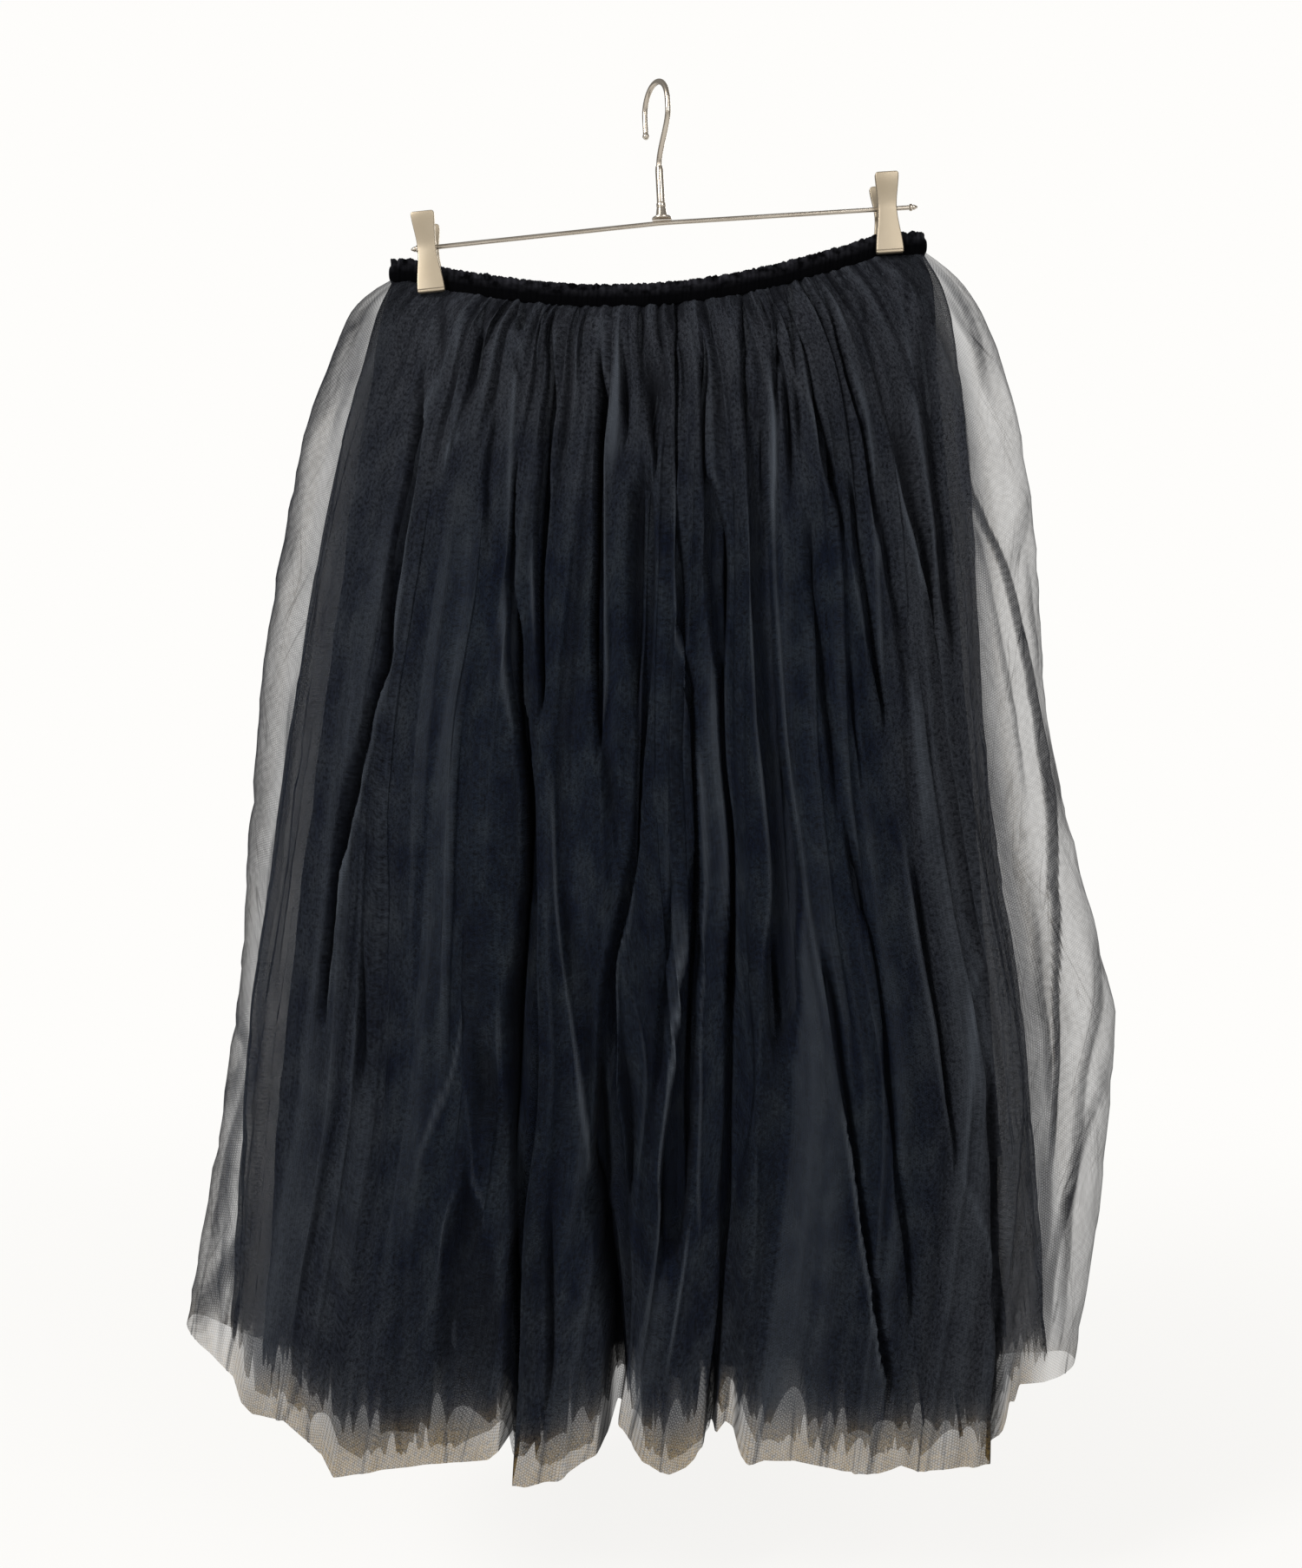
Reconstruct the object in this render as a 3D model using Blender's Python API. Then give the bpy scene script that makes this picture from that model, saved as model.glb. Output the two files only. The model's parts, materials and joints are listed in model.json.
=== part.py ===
"""A gathered tulle midi skirt hanging from a clip hanger, at its real size.

Metres, +Z up. The origin is the inside of the hook's bend, where the hanger hangs. +X is the
viewer's right, and the skirt's front faces -Y. Every size and table below is in millimetres.

The skirt has a ruched waistband, three gathered layers of tulle and a shorter lining. Each of them
is cut as a front and a back, and each of those is one closed wall. The two clips pinch the
waistband flat and let it sag between them.
"""

import math
from collections import namedtuple

import bmesh
import bpy
from mathutils import Matrix, Vector

MM = 0.001
SEAM_GAP = 0.4  # between neighbouring pieces
PANEL_DROP = 0.7  # from the casing's lower edge to the panels, whose straight edges cut its sag
FRONT, BACK = -1, 1  # the side of the middle plane that a panel lies on

# ---- the waistband ----
BAND_LEFT, BAND_RIGHT = -188.5, 192.5  # its two ends
BAND_TOP_LEFT, BAND_TOP_RIGHT = -124.0, -104.0  # height of its upper edge at those ends
BAND_SAG = 28.0  # drop of that edge below a straight line, between the clips
SAG_CENTRE, SAG_REACH = -8.0, 165.0
BAND_HEIGHT = 16.0
BAND_THICK = 5.2
FRILL_STEP = 10.0  # along the band, between one frill's crest and the next valley
FRILL_WAVE = 0.9  # how far the heading waves in and out at its upper edge
HEADING = 4.2  # height of the frilled heading above the casing
# A row for each corner of the band's profile: how far down it is, and half its thickness there.
BAND_PROFILE = [(0.0, 0.7), (3.0, 1.1), (HEADING, 1.9), (7.0, 2.6), (13.5, 2.6), (BAND_HEIGHT, 2.2)]

# ---- how the clips pinch the cloth ----
HOLLOW = 6.0  # half the gap between front and back, midway between the clips
PINCH = 0.88  # share of that gap that the clips close
PINCH_FROM, PINCH_FULL = 105.0, 150.0  # distance from the middle where the pinch starts and is full
PINCH_FALL = 95.0  # how far down the cloth the pinch is felt

# ---- the skirt ----
CLOTH_THICK = 1.0
BACK_DEPTH = 0.92  # the back stands out this share of the front's depth
BACK_FULL = 0.1  # fall by which it does
HEM_LIFT = 8.0  # a valley's hem is this much higher than a crest's
HEM_BEND = 5.0  # power by which the hem rises towards the sides
KNEE = 0.4  # fall of a fold table's second column
END_SHARES = (0.995, 0.972)  # extra columns that round each side's turn
SQUARE_BAND, ROUND_HEM, SQUARE_FALL = 7.6, 2.4, 0.04  # how boxy a section is at the band, and below

# A row for each section of a layer. fall: share of the way from the band (0) to the hem (1).
# left, right: half-widths. depth: how far the valleys stand from the middle plane. stand: how far
# a crest stands beyond the valleys.
Section = namedtuple("Section", "fall left right depth stand")
# stack: the layer's outer face at the band, beyond the hollow. hem_left, hem_middle, hem_right:
# heights of the hem. shift: 0.5 puts the layer's crests over the valleys of the one beside it.
Layer = namedtuple("Layer", "name stack hem_left hem_middle hem_right shift sections")

OUTER = Layer("outer_tulle", 5.2, -874, -942, -903, 0.0, [
    Section(0.00, 188.5, 192.5, 11.2, 0.0),
    Section(0.03, 219, 221, 17.5, 2.0),
    Section(0.08, 234, 243, 28, 5),
    Section(0.15, 253, 261, 37, 7.5),
    Section(0.25, 267, 270, 47, 10),
    Section(0.40, 283, 284, 60, 13),
    Section(0.55, 290, 303, 68, 15),
    Section(0.70, 299, 325, 75, 16),
    Section(0.85, 315, 317, 80, 17),
    Section(1.00, 334, 299, 84, 18),
])
MIDDLE = Layer("middle_tulle", 3.8, -888, -934, -902, 0.5, [
    Section(0.00, 187.1, 191.1, 9.8, 0.0),
    Section(0.03, 201.5, 206, 14.2, 1.2),
    Section(0.08, 215, 221, 22, 3.5),
    Section(0.15, 231, 232, 29, 5),
    Section(0.40, 266, 254, 48.5, 8.5),
    Section(0.70, 294, 286, 62, 10.5),
    Section(1.00, 310, 281, 69, 12),
])
INNER = Layer("inner_tulle", 2.4, -892, -928, -900, 0.0, [
    Section(0.00, 185.7, 189.7, 8.4, 0.0),
    Section(0.03, 194, 198, 10.7, 0.9),
    Section(0.08, 205, 209, 17, 2.5),
    Section(0.15, 222, 219, 22.5, 4),
    Section(0.40, 258, 232, 38, 7.5),
    Section(0.70, 289, 257, 50, 9.5),
    Section(1.00, 299, 266, 56, 10.5),
])
LINING = Layer("lining", 1.0, -765, -779, -755, 0.5, [
    Section(0.00, 184.3, 188.3, 7.0, 0.0),
    Section(0.04, 188.5, 192, 8.0, 0.6),
    Section(0.19, 199, 203, 16.5, 2.8),
    Section(0.50, 226, 219, 29, 5),
    Section(1.00, 255, 244, 40, 6.5),
])

# A row for each fold's crest: its place as a share of the half-width, at the band, at the knee and
# at the hem, and how boldly it stands beside the others.
Fold = namedtuple("Fold", "band knee hem bold")
FRONT_FOLDS = [
    Fold(-0.92, -0.90, -0.90, 0.8),
    Fold(-0.76, -0.73, -0.78, 1.0),
    Fold(-0.66, -0.53, -0.59, 0.7),
    Fold(-0.56, -0.37, -0.39, 1.0),
    Fold(-0.38, -0.24, -0.24, 1.0),
    Fold(-0.20, -0.12, -0.12, 0.5),
    Fold(-0.06, 0.01, -0.02, 0.9),
    Fold(0.10, 0.10, 0.09, 0.8),
    Fold(0.26, 0.27, 0.22, 1.0),
    Fold(0.43, 0.38, 0.33, 0.5),
    Fold(0.60, 0.47, 0.46, 1.0),
    Fold(0.73, 0.60, 0.62, 0.9),
    Fold(0.85, 0.76, 0.77, 1.0),
    Fold(0.94, 0.90, 0.90, 0.7),
]
BACK_FOLDS = [
    Fold(-0.93, -0.90, -0.88, 0.8),
    Fold(-0.80, -0.75, -0.72, 1.0),
    Fold(-0.62, -0.58, -0.57, 0.7),
    Fold(-0.47, -0.42, -0.38, 1.0),
    Fold(-0.30, -0.26, -0.25, 0.6),
    Fold(-0.13, -0.09, -0.06, 1.0),
    Fold(0.04, 0.05, 0.08, 0.7),
    Fold(0.19, 0.20, 0.23, 0.9),
    Fold(0.36, 0.36, 0.37, 0.6),
    Fold(0.52, 0.50, 0.53, 1.0),
    Fold(0.68, 0.66, 0.67, 0.8),
    Fold(0.82, 0.79, 0.80, 1.0),
    Fold(0.94, 0.91, 0.90, 0.7),
]

# ---- the hanger ----
WIRE_R = 2.0
HOOK_R = 17.5  # to the middle of the wire
HOOK_TIP_DROP = 16.0  # straight run below the bend, to the tip
HOOK_SWIVEL = math.radians(63)  # the hook is turned this far out of the rod's plane
LEG_DROP = 6.0  # the back leg meets the bend this far below the bend's centre
STEM_LEAN = math.radians(3)  # the stem's foot swings this far to +X
STEM_TOP, STEM_LENGTH, STEM_R = -57.0, 26.0, 2.9
STEM_TAPER, STEM_MOUTH_R = 3.0, 2.6
SHANK_IN = 12.0  # length of wire inside the stem tube
FERRULE_R_TOP, FERRULE_R_FOOT, FERRULE_COLLAR = 3.4, 4.3, 3.0
FLANGE_R, FLANGE_THICK = 7.0, 1.5
FLANGE_ABOVE_ROD = 0.5  # the rod rises a little under the flange's edge
ROD_R = 1.6
ROD_LEFT = Vector((-167.0, 0.0, -115.3))
ROD_CENTRE = Vector((5.0, 0.0, -97.0))
ROD_RIGHT = Vector((180.2, 0.0, -86.0))
# A finial's profile: radius, and distance beyond the rod's end.
FINIAL = [(0, 0), (1.6, 0), (2.5, 0.6), (2.5, 2.0), (1.5, 2.6), (1.9, 3.4), (0, 6.0)]

# ---- the clips ----
CLIP_LEFT_X, CLIP_RIGHT_X = -161.0, 163.5
CLIP_ABOVE, CLIP_BELOW = 21.0, 34.0  # the plate's ends, from the rod
CLIP_LENGTH = CLIP_ABOVE + CLIP_BELOW
PLATE_THICK = 4.0
PLATE_WAIST, PLATE_TOP_HALF, PLATE_JAW_HALF = 6.5, 8.3, 9.7  # half-widths of the hourglass
PLATE_CORNER = 1.4
JAW_FACE, LEVER_FACE = 6.75, 12.5  # inner faces of jaw and thumb end, from the rod's plane
LEVER_FROM = -4.0  # height, from the rod, where the plate starts to bend away
EAR_THICK, EAR_PAST_ROD, EAR_HALF = 1.0, 3.4, 4.2
EAR_SINK = 1.5  # how deep an ear runs into its plate
FRONT_EAR, BACK_EAR = 5.4, 4.0  # the back plate's ears stand inside the front plate's
EAR_BORE = ROD_R + 0.4
SPRING_R, SPRING_HALF = 3.3, 3.0

NICKEL = ("satin_nickel", (0.52, 0.48, 0.42), 0.35, 1.0)
BLACK_NET = ("black_tulle", (0.012, 0.013, 0.016), 0.8, 0.0)
BLACK_SATIN = ("black_lining", (0.008, 0.008, 0.012), 0.5, 0.0)


# ---- tables and small curves ----
def smoothstep(low, high, value):
    t = min(1.0, max(0.0, (value - low) / (high - low)))
    return t * t * (3 - 2 * t)


def read(sections, column, fall):
    """A column's value at that fall, on the straight line between two sections."""
    for upper, lower in zip(sections, sections[1:]):
        if fall <= lower.fall:
            t = (fall - upper.fall) / (lower.fall - upper.fall)
            a, b = getattr(upper, column), getattr(lower, column)
            return a + (b - a) * t
    return getattr(sections[-1], column)


def band_top(x):
    """Height of the waistband's upper edge: a straight line between its ends, less the sag."""
    along = (x - BAND_LEFT) / (BAND_RIGHT - BAND_LEFT)
    line = BAND_TOP_LEFT + (BAND_TOP_RIGHT - BAND_TOP_LEFT) * along
    return line - BAND_SAG * max(0.0, 1 - ((x - SAG_CENTRE) / SAG_REACH) ** 2)


def open_share(x, drop):
    """How far the clips leave the cloth open at x, at this drop below the band."""
    pinch = PINCH * smoothstep(PINCH_FROM, PINCH_FULL, abs(x))
    return 1 - pinch * math.exp(-((drop / PINCH_FALL) ** 2))


# ---- the cloth ----
def crest_share(fold, fall):
    """Where a fold's crest lies at that fall, as a share of the half-width."""
    if fall < KNEE:
        return fold.band + (fold.knee - fold.band) * fall / KNEE
    return fold.knee + (fold.hem - fold.knee) * (fall - KNEE) / (1 - KNEE)


def columns(folds, shift, fall):
    """A panel's columns from left to right, as (share of the half-width, boldness)."""
    crests = [(crest_share(fold, fall), fold.bold) for fold in folds]
    if shift:
        pairs = list(zip(crests, crests[1:]))
        crests = [((a[0] + b[0]) / 2, (a[1] + b[1]) / 2) for a, b in pairs]
    row = []
    for here, after in zip(crests, crests[1:]):
        valley = ((here[0] + after[0]) / 2, 0.0)
        row += [here, valley]
    row.append(crests[-1])
    ends = [(share, 0.0) for share in (1.0, *END_SHARES)]
    return [(-share, bold) for share, bold in ends] + row + ends[::-1]


def half_width(sections, share, fall):
    left, right = read(sections, "left", fall), read(sections, "right", fall)
    return left + (right - left) * (1 + share) / 2


def cloth_point(layer, side, share, bold, fall):
    """A point of the layer's outer face."""
    sections = layer.sections
    band_x = half_width(sections, share, 0) * share
    top = band_top(band_x) - BAND_HEIGHT - PANEL_DROP
    end = layer.hem_left if share < 0 else layer.hem_right
    hem = layer.hem_middle + (end - layer.hem_middle) * abs(share) ** HEM_BEND
    hem += HEM_LIFT * (1 - bold) * (1 - abs(share))
    square = ROUND_HEM + SQUARE_BAND * math.exp(-fall / SQUARE_FALL)
    turn = max(0.0, 1 - abs(share) ** square) ** (1 / square)
    depth = read(sections, "depth", fall) - layer.stack + bold * read(sections, "stand", fall)
    depth *= open_share(band_x, fall * (top - hem))
    if side == BACK:
        depth *= 1 - (1 - BACK_DEPTH) * min(1.0, fall / BACK_FULL)
    y = side * max(SEAM_GAP / 2, (layer.stack + depth) * turn)
    return Vector((half_width(sections, share, fall) * share, y, top + fall * (hem - top)))


def inner_face(grid):
    """The grid moved inwards by the cloth's thickness, square to the faces round each point.

    The end columns move along X alone, so that the front and the back meet face to face.
    """
    last_row, last_col = len(grid) - 1, len(grid[0]) - 1

    def normal(r, c):
        falling = grid[r + 1][c + 1] - grid[r][c]
        rising = grid[r][c + 1] - grid[r + 1][c]
        return falling.cross(rising).normalized()

    moved = []
    for r, line in enumerate(grid):
        new = []
        for c, point in enumerate(line):
            near = [normal(i, j) for i in (r - 1, r) for j in (c - 1, c)
                    if 0 <= i < last_row and 0 <= j < last_col]
            if r == 0:  # level with the seam, where the layers lie close
                near = [Vector((n.x, n.y, 0)).normalized() for n in near]
            mean = sum(near, Vector())
            mean.z = 0
            if c in (0, last_col):
                mean.y = 0
            mean.normalize()
            square = max(0.45, min(mean.dot(n) for n in near))
            new.append(point - mean * CLOTH_THICK / square)
        moved.append(new)
    return moved


def cloth_panel(layer, side, folds, finish):
    """A layer's front or back: one closed wall between an outer and an inner grid of points."""
    grid = []
    for section in layer.sections:
        row = columns(folds, layer.shift, section.fall)
        line = [cloth_point(layer, side, share, bold, section.fall) for share, bold in row]
        grid.append(line if side == FRONT else line[::-1])
    bm = bmesh.new()
    outer, inner = [[[bm.verts.new(p * MM) for p in line] for line in skin]
                    for skin in (grid, inner_face(grid))]
    last_row, last_col = len(grid) - 1, len(grid[0]) - 1
    for r in range(last_row):
        for c in range(last_col):
            for skin in (outer, inner):
                bm.faces.new((skin[r][c], skin[r + 1][c], skin[r + 1][c + 1], skin[r][c + 1]))
        for c in (0, last_col):
            bm.faces.new((outer[r][c], inner[r][c], inner[r + 1][c], outer[r + 1][c]))
    for c in range(last_col):
        for r in (0, last_row):
            bm.faces.new((outer[r][c], outer[r][c + 1], inner[r][c + 1], inner[r][c]))
    finished(f"{layer.name}_{side_name(side)}", bm, finish)


def side_name(side):
    return "front" if side == FRONT else "back"


def band_path():
    """The front band's middle line as (place, wave): nearly straight, with a turn at each end."""
    bend = BAND_THICK / 2 + (1 - PINCH) * HOLLOW  # the turn's radius
    left, right = [end - math.copysign(bend + BAND_THICK / 2, end) for end in (BAND_LEFT, BAND_RIGHT)]
    steps = 2 * round((right - left) / (2 * FRILL_STEP))
    path = []
    for i in range(steps + 1):
        x = left + (right - left) * i / steps
        y = -(HOLLOW * open_share(x, 0) + BAND_THICK / 2)
        path.append((Vector((x, y, 0)), (-1) ** i))
    turns = [math.radians(angle) for angle in (30, 60, 90)]
    arc = [(bend * math.sin(a), -max(SEAM_GAP / 2, bend * math.cos(a))) for a in turns]
    before = [(Vector((left - x, y, 0)), 0) for x, y in arc[::-1]]
    after = [(Vector((right + x, y, 0)), 0) for x, y in arc]
    return before + path + after


def waistband(side, finish):
    """The ruched casing and its heading: one profile carried along the band's path."""
    path = band_path()
    last = len(path) - 1
    bm = bmesh.new()
    rings = []
    for i, (here, wave) in enumerate(path):
        along = path[min(last, i + 1)][0] - path[max(0, i - 1)][0]
        out = Vector((along.y, -along.x, 0)).normalized()
        if i in (0, last):
            out = Vector((math.copysign(1, here.x), 0, 0))
        profile = [(down, half) for down, half in BAND_PROFILE]
        profile += [(down, -half) for down, half in reversed(BAND_PROFILE)]
        ring = []
        for down, half in profile:
            frill = FRILL_WAVE * wave * max(0.0, 1 - down / HEADING)
            p = here + out * (half + frill)
            ring.append(bm.verts.new(Vector((p.x, -side * p.y, band_top(here.x) - down)) * MM))
        rings.append(ring)
    for a, b in zip(rings, rings[1:]):
        bridge(bm, a, b)
    bm.faces.new(rings[0])
    bm.faces.new(rings[-1])
    finished(f"waistband_{side_name(side)}", bm, finish)


# ---- making objects ----
def bridge(bm, a, b):
    """Faces between two rings of the same number of points."""
    for i in range(len(a)):
        j = (i + 1) % len(a)
        bm.faces.new((a[i], a[j], b[j], b[i]))


def material(finish):
    name, colour, roughness, metallic = finish
    made = bpy.data.materials.get(name)
    if made is None:
        made = bpy.data.materials.new(name)
        made.use_nodes = True
        shader = made.node_tree.nodes["Principled BSDF"]
        shader.inputs["Base Color"].default_value = (*colour, 1)
        shader.inputs["Roughness"].default_value = roughness
        shader.inputs["Metallic"].default_value = metallic
    return made


def linked(name, data):
    made = bpy.data.objects.new(name, data)
    bpy.context.scene.collection.objects.link(made)
    return made


def finished(name, bm, finish, smooth=False):
    """Turns a bmesh into a named object, with its faces pointing out."""
    bmesh.ops.recalc_face_normals(bm, faces=bm.faces)
    mesh = bpy.data.meshes.new(name)
    bm.to_mesh(mesh)
    bm.free()
    mesh.materials.append(material(finish))
    if smooth:
        mesh.shade_smooth()
        mesh.set_sharp_from_angle(angle=math.radians(40))
    return linked(name, mesh)


def boolean(target, other, operation):
    other.hide_render = True
    other.display_type = "WIRE"
    step = target.modifiers.new(operation.lower(), "BOOLEAN")
    step.operation = operation
    step.object = other


def turned(name, profile, frame, sides=16):
    """A round nickel piece from (radius, height) pairs, turned about its own Z and set in frame."""
    bm = bmesh.new()
    verts = [bm.verts.new((r * MM, 0, z * MM)) for r, z in profile]
    edges = [bm.edges.new(pair) for pair in zip(verts, verts[1:])]
    if profile[0][0] > 0:  # a tube's profile is a closed ring
        edges.append(bm.edges.new((verts[-1], verts[0])))
    bmesh.ops.spin(bm, geom=verts + edges, cent=(0, 0, 0), axis=(0, 0, 1), angle=math.tau,
                   steps=sides, use_merge=True)
    bmesh.ops.remove_doubles(bm, verts=bm.verts, dist=1e-6)
    bmesh.ops.transform(bm, matrix=frame, verts=bm.verts)
    return finished(name, bm, NICKEL, smooth=True)


def bar(name, points, radius):
    """A round nickel bar along points: a curve with a bevel and filled caps."""
    curve = bpy.data.curves.new(name, "CURVE")
    curve.dimensions = "3D"
    curve.bevel_depth = radius * MM
    curve.bevel_resolution = 2
    curve.use_fill_caps = True
    spline = curve.splines.new("POLY")
    spline.points.add(len(points) - 1)
    for point, place in zip(spline.points, points):
        point.co = (*(place * MM), 1)
    curve.materials.append(material(NICKEL))
    return linked(name, curve)


# ---- the hanger ----
LEAN = Matrix.Rotation(-STEM_LEAN, 4, "Y")


def hook_wire():
    """Shank, S-bend out to the back leg, half-round bend and short straight tip."""
    centre = WIRE_R - HOOK_R  # height of the bend's centre: the wire's inside touches the origin
    leg_top = centre - LEG_DROP
    path = [(0, STEM_TOP - SHANK_IN), (0, STEM_TOP)]
    for i in range(1, 8):
        path.append((HOOK_R * smoothstep(0, 7, i), STEM_TOP + (leg_top - STEM_TOP) * i / 7))
    for i in range(15):
        angle = math.pi * i / 14
        path.append((HOOK_R * math.cos(angle), centre + HOOK_R * math.sin(angle)))
    for i in range(1, 4):
        path.append((-HOOK_R, centre - HOOK_TIP_DROP * i / 3))
    across = Vector((math.cos(HOOK_SWIVEL), -math.sin(HOOK_SWIVEL), 0))
    bar("hook_wire", [LEAN.to_3x3() @ (across * out + Vector((0, 0, z))) for out, z in path], WIRE_R)


def stem_and_ferrule():
    """The tube round the shank, and the tapered boss whose flange stands on the rod."""
    bore, foot = WIRE_R + SEAM_GAP, STEM_TOP - STEM_LENGTH
    turned("stem_tube", [(bore, STEM_TOP), (STEM_MOUTH_R, STEM_TOP), (STEM_R, STEM_TOP - STEM_TAPER),
                         (STEM_R, foot), (bore, foot)], LEAN)
    top = foot - SEAM_GAP
    base = ROD_CENTRE.z + ROD_R + FLANGE_ABOVE_ROD
    shoulder = base + FLANGE_THICK
    turned("centre_ferrule", [(0, top), (FERRULE_R_TOP, top), (FERRULE_R_TOP, top - FERRULE_COLLAR),
                              (FERRULE_R_FOOT, shoulder), (FLANGE_R, shoulder), (FLANGE_R, base),
                              (0, base)], LEAN)


def rod_and_finials():
    bar("rod", [ROD_LEFT, ROD_CENTRE, ROD_RIGHT], ROD_R)
    for name, end in (("rod_finial_left", ROD_LEFT), ("rod_finial_right", ROD_RIGHT)):
        along = (end - ROD_CENTRE).normalized()
        place = Matrix.Translation((end + along * SEAM_GAP) * MM)
        turned(name, FINIAL, place @ along.to_track_quat("Z", "Y").to_matrix().to_4x4(), sides=12)


def plate_half(down):
    """Half the plate's width, that far below its top: an hourglass with round corners."""
    waist = 0.42 * CLIP_LENGTH
    if down < waist:
        half = PLATE_WAIST + (PLATE_TOP_HALF - PLATE_WAIST) * smoothstep(0, waist, waist - down)
    else:
        half = PLATE_WAIST + (PLATE_JAW_HALF - PLATE_WAIST) * smoothstep(waist, CLIP_LENGTH, down)
    edge = min(down, CLIP_LENGTH - down, PLATE_CORNER)
    return half - PLATE_CORNER + math.sqrt(PLATE_CORNER ** 2 - (PLATE_CORNER - edge) ** 2)


def clip_plate(name, side, frame, ear_at):
    """A pressed plate: thumb end, waist and jaw, with two ears that the rod passes through."""
    ends = [0, 0.35 * PLATE_CORNER, PLATE_CORNER]
    between = [PLATE_CORNER + (CLIP_LENGTH - 2 * PLATE_CORNER) * i / 9 for i in range(1, 9)]
    bm = bmesh.new()
    rings = []
    for down in ends + between + [CLIP_LENGTH - end for end in ends[::-1]]:
        height = CLIP_ABOVE - down
        half = plate_half(down)
        near = JAW_FACE + (LEVER_FACE - JAW_FACE) * smoothstep(LEVER_FROM, CLIP_ABOVE, height)
        far = near + PLATE_THICK
        corners = ((-half, near), (half, near), (half, far), (-half, far))
        rings.append([bm.verts.new(Vector((x, side * y, height)) * MM) for x, y in corners])
    for a, b in zip(rings, rings[1:]):
        bridge(bm, a, b)
    bm.faces.new(rings[0])
    bm.faces.new(rings[-1])
    bmesh.ops.transform(bm, matrix=frame, verts=bm.verts)
    plate = finished(name, bm, NICKEL)
    reach = JAW_FACE + EAR_SINK + EAR_PAST_ROD
    size = Matrix.Diagonal((EAR_THICK * MM, reach * MM, 2 * EAR_HALF * MM, 1))
    for hand, x in (("left", -ear_at), ("right", ear_at)):
        centre = Vector((x, side * (reach / 2 - EAR_PAST_ROD), 0)) * MM
        bm = bmesh.new()
        bmesh.ops.create_cube(bm, size=1, matrix=frame @ Matrix.Translation(centre) @ size)
        boolean(plate, finished(f"{name}_ear_{hand}", bm, NICKEL), "UNION")
    bm = bmesh.new()
    bmesh.ops.create_cone(bm, cap_ends=True, segments=14, radius1=EAR_BORE * MM,
                          radius2=EAR_BORE * MM, depth=3 * ear_at * MM,
                          matrix=frame @ Matrix.Rotation(math.pi / 2, 4, "Y"))
    boolean(plate, finished(f"{name}_bore", bm, NICKEL), "DIFFERENCE")


def clip(where, x, rod_end):
    """Front plate, back plate, and the spring round the rod between their ears."""
    at = ROD_CENTRE.lerp(rod_end, (x - ROD_CENTRE.x) / (rod_end.x - ROD_CENTRE.x))
    slope = math.atan((rod_end.z - ROD_CENTRE.z) / (rod_end.x - ROD_CENTRE.x))
    frame = Matrix.Translation(at * MM) @ Matrix.Rotation(-slope, 4, "Y")
    clip_plate(f"clip_{where}_front", FRONT, frame, FRONT_EAR)
    clip_plate(f"clip_{where}_back", BACK, frame, BACK_EAR)
    turned(f"clip_{where}_spring", [(EAR_BORE, -SPRING_HALF), (SPRING_R, -SPRING_HALF),
                                    (SPRING_R, SPRING_HALF), (EAR_BORE, SPRING_HALF)],
           frame @ Matrix.Rotation(math.pi / 2, 4, "Y"), sides=12)


def main():
    for old in list(bpy.data.objects):
        bpy.data.objects.remove(old, do_unlink=True)
    for side, folds in ((FRONT, FRONT_FOLDS), (BACK, BACK_FOLDS)):
        waistband(side, BLACK_NET)
        for layer in (OUTER, MIDDLE, INNER):
            cloth_panel(layer, side, folds, BLACK_NET)
        cloth_panel(LINING, side, folds, BLACK_SATIN)
    hook_wire()
    stem_and_ferrule()
    rod_and_finials()
    clip("left", CLIP_LEFT_X, ROD_LEFT)
    clip("right", CLIP_RIGHT_X, ROD_RIGHT)


main()
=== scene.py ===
# %% [markdown]
# # A gathered tulle skirt on a clip hanger
#
# Tulle is a stiff, fine net. One layer of it is as clear as smoke, and four layers are nearly
# black. So this lesson builds every layer of the skirt as its own sheet, gathers each one onto the
# waistband as a dressmaker would, and lets the renderer add the layers up. The hanger is nickel
# plated steel, and its pieces are bent, turned and pressed from their real sizes.

# %% Load the frame
import json
import math
from collections import namedtuple

import bpy
import numpy as np
from mathutils import Matrix, Vector

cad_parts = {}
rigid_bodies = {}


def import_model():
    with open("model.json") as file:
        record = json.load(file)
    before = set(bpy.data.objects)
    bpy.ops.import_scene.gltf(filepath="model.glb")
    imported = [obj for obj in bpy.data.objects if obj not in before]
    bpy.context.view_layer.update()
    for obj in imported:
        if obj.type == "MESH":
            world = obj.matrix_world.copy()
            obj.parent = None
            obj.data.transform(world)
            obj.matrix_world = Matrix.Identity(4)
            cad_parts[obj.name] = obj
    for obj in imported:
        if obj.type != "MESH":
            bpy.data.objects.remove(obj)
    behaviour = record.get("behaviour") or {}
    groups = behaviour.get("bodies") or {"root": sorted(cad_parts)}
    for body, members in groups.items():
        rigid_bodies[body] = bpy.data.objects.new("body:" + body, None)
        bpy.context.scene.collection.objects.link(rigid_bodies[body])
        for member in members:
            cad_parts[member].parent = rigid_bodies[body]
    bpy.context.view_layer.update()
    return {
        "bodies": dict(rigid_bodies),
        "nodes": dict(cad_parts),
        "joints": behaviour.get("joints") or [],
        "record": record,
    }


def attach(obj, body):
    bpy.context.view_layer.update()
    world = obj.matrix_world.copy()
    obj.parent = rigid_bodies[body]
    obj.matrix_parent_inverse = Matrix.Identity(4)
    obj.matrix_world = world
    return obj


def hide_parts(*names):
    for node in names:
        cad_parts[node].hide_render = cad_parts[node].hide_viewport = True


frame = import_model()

MM = 0.001
scene = bpy.context.scene
print("model loaded:", len(frame["nodes"]), "nodes")
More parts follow.
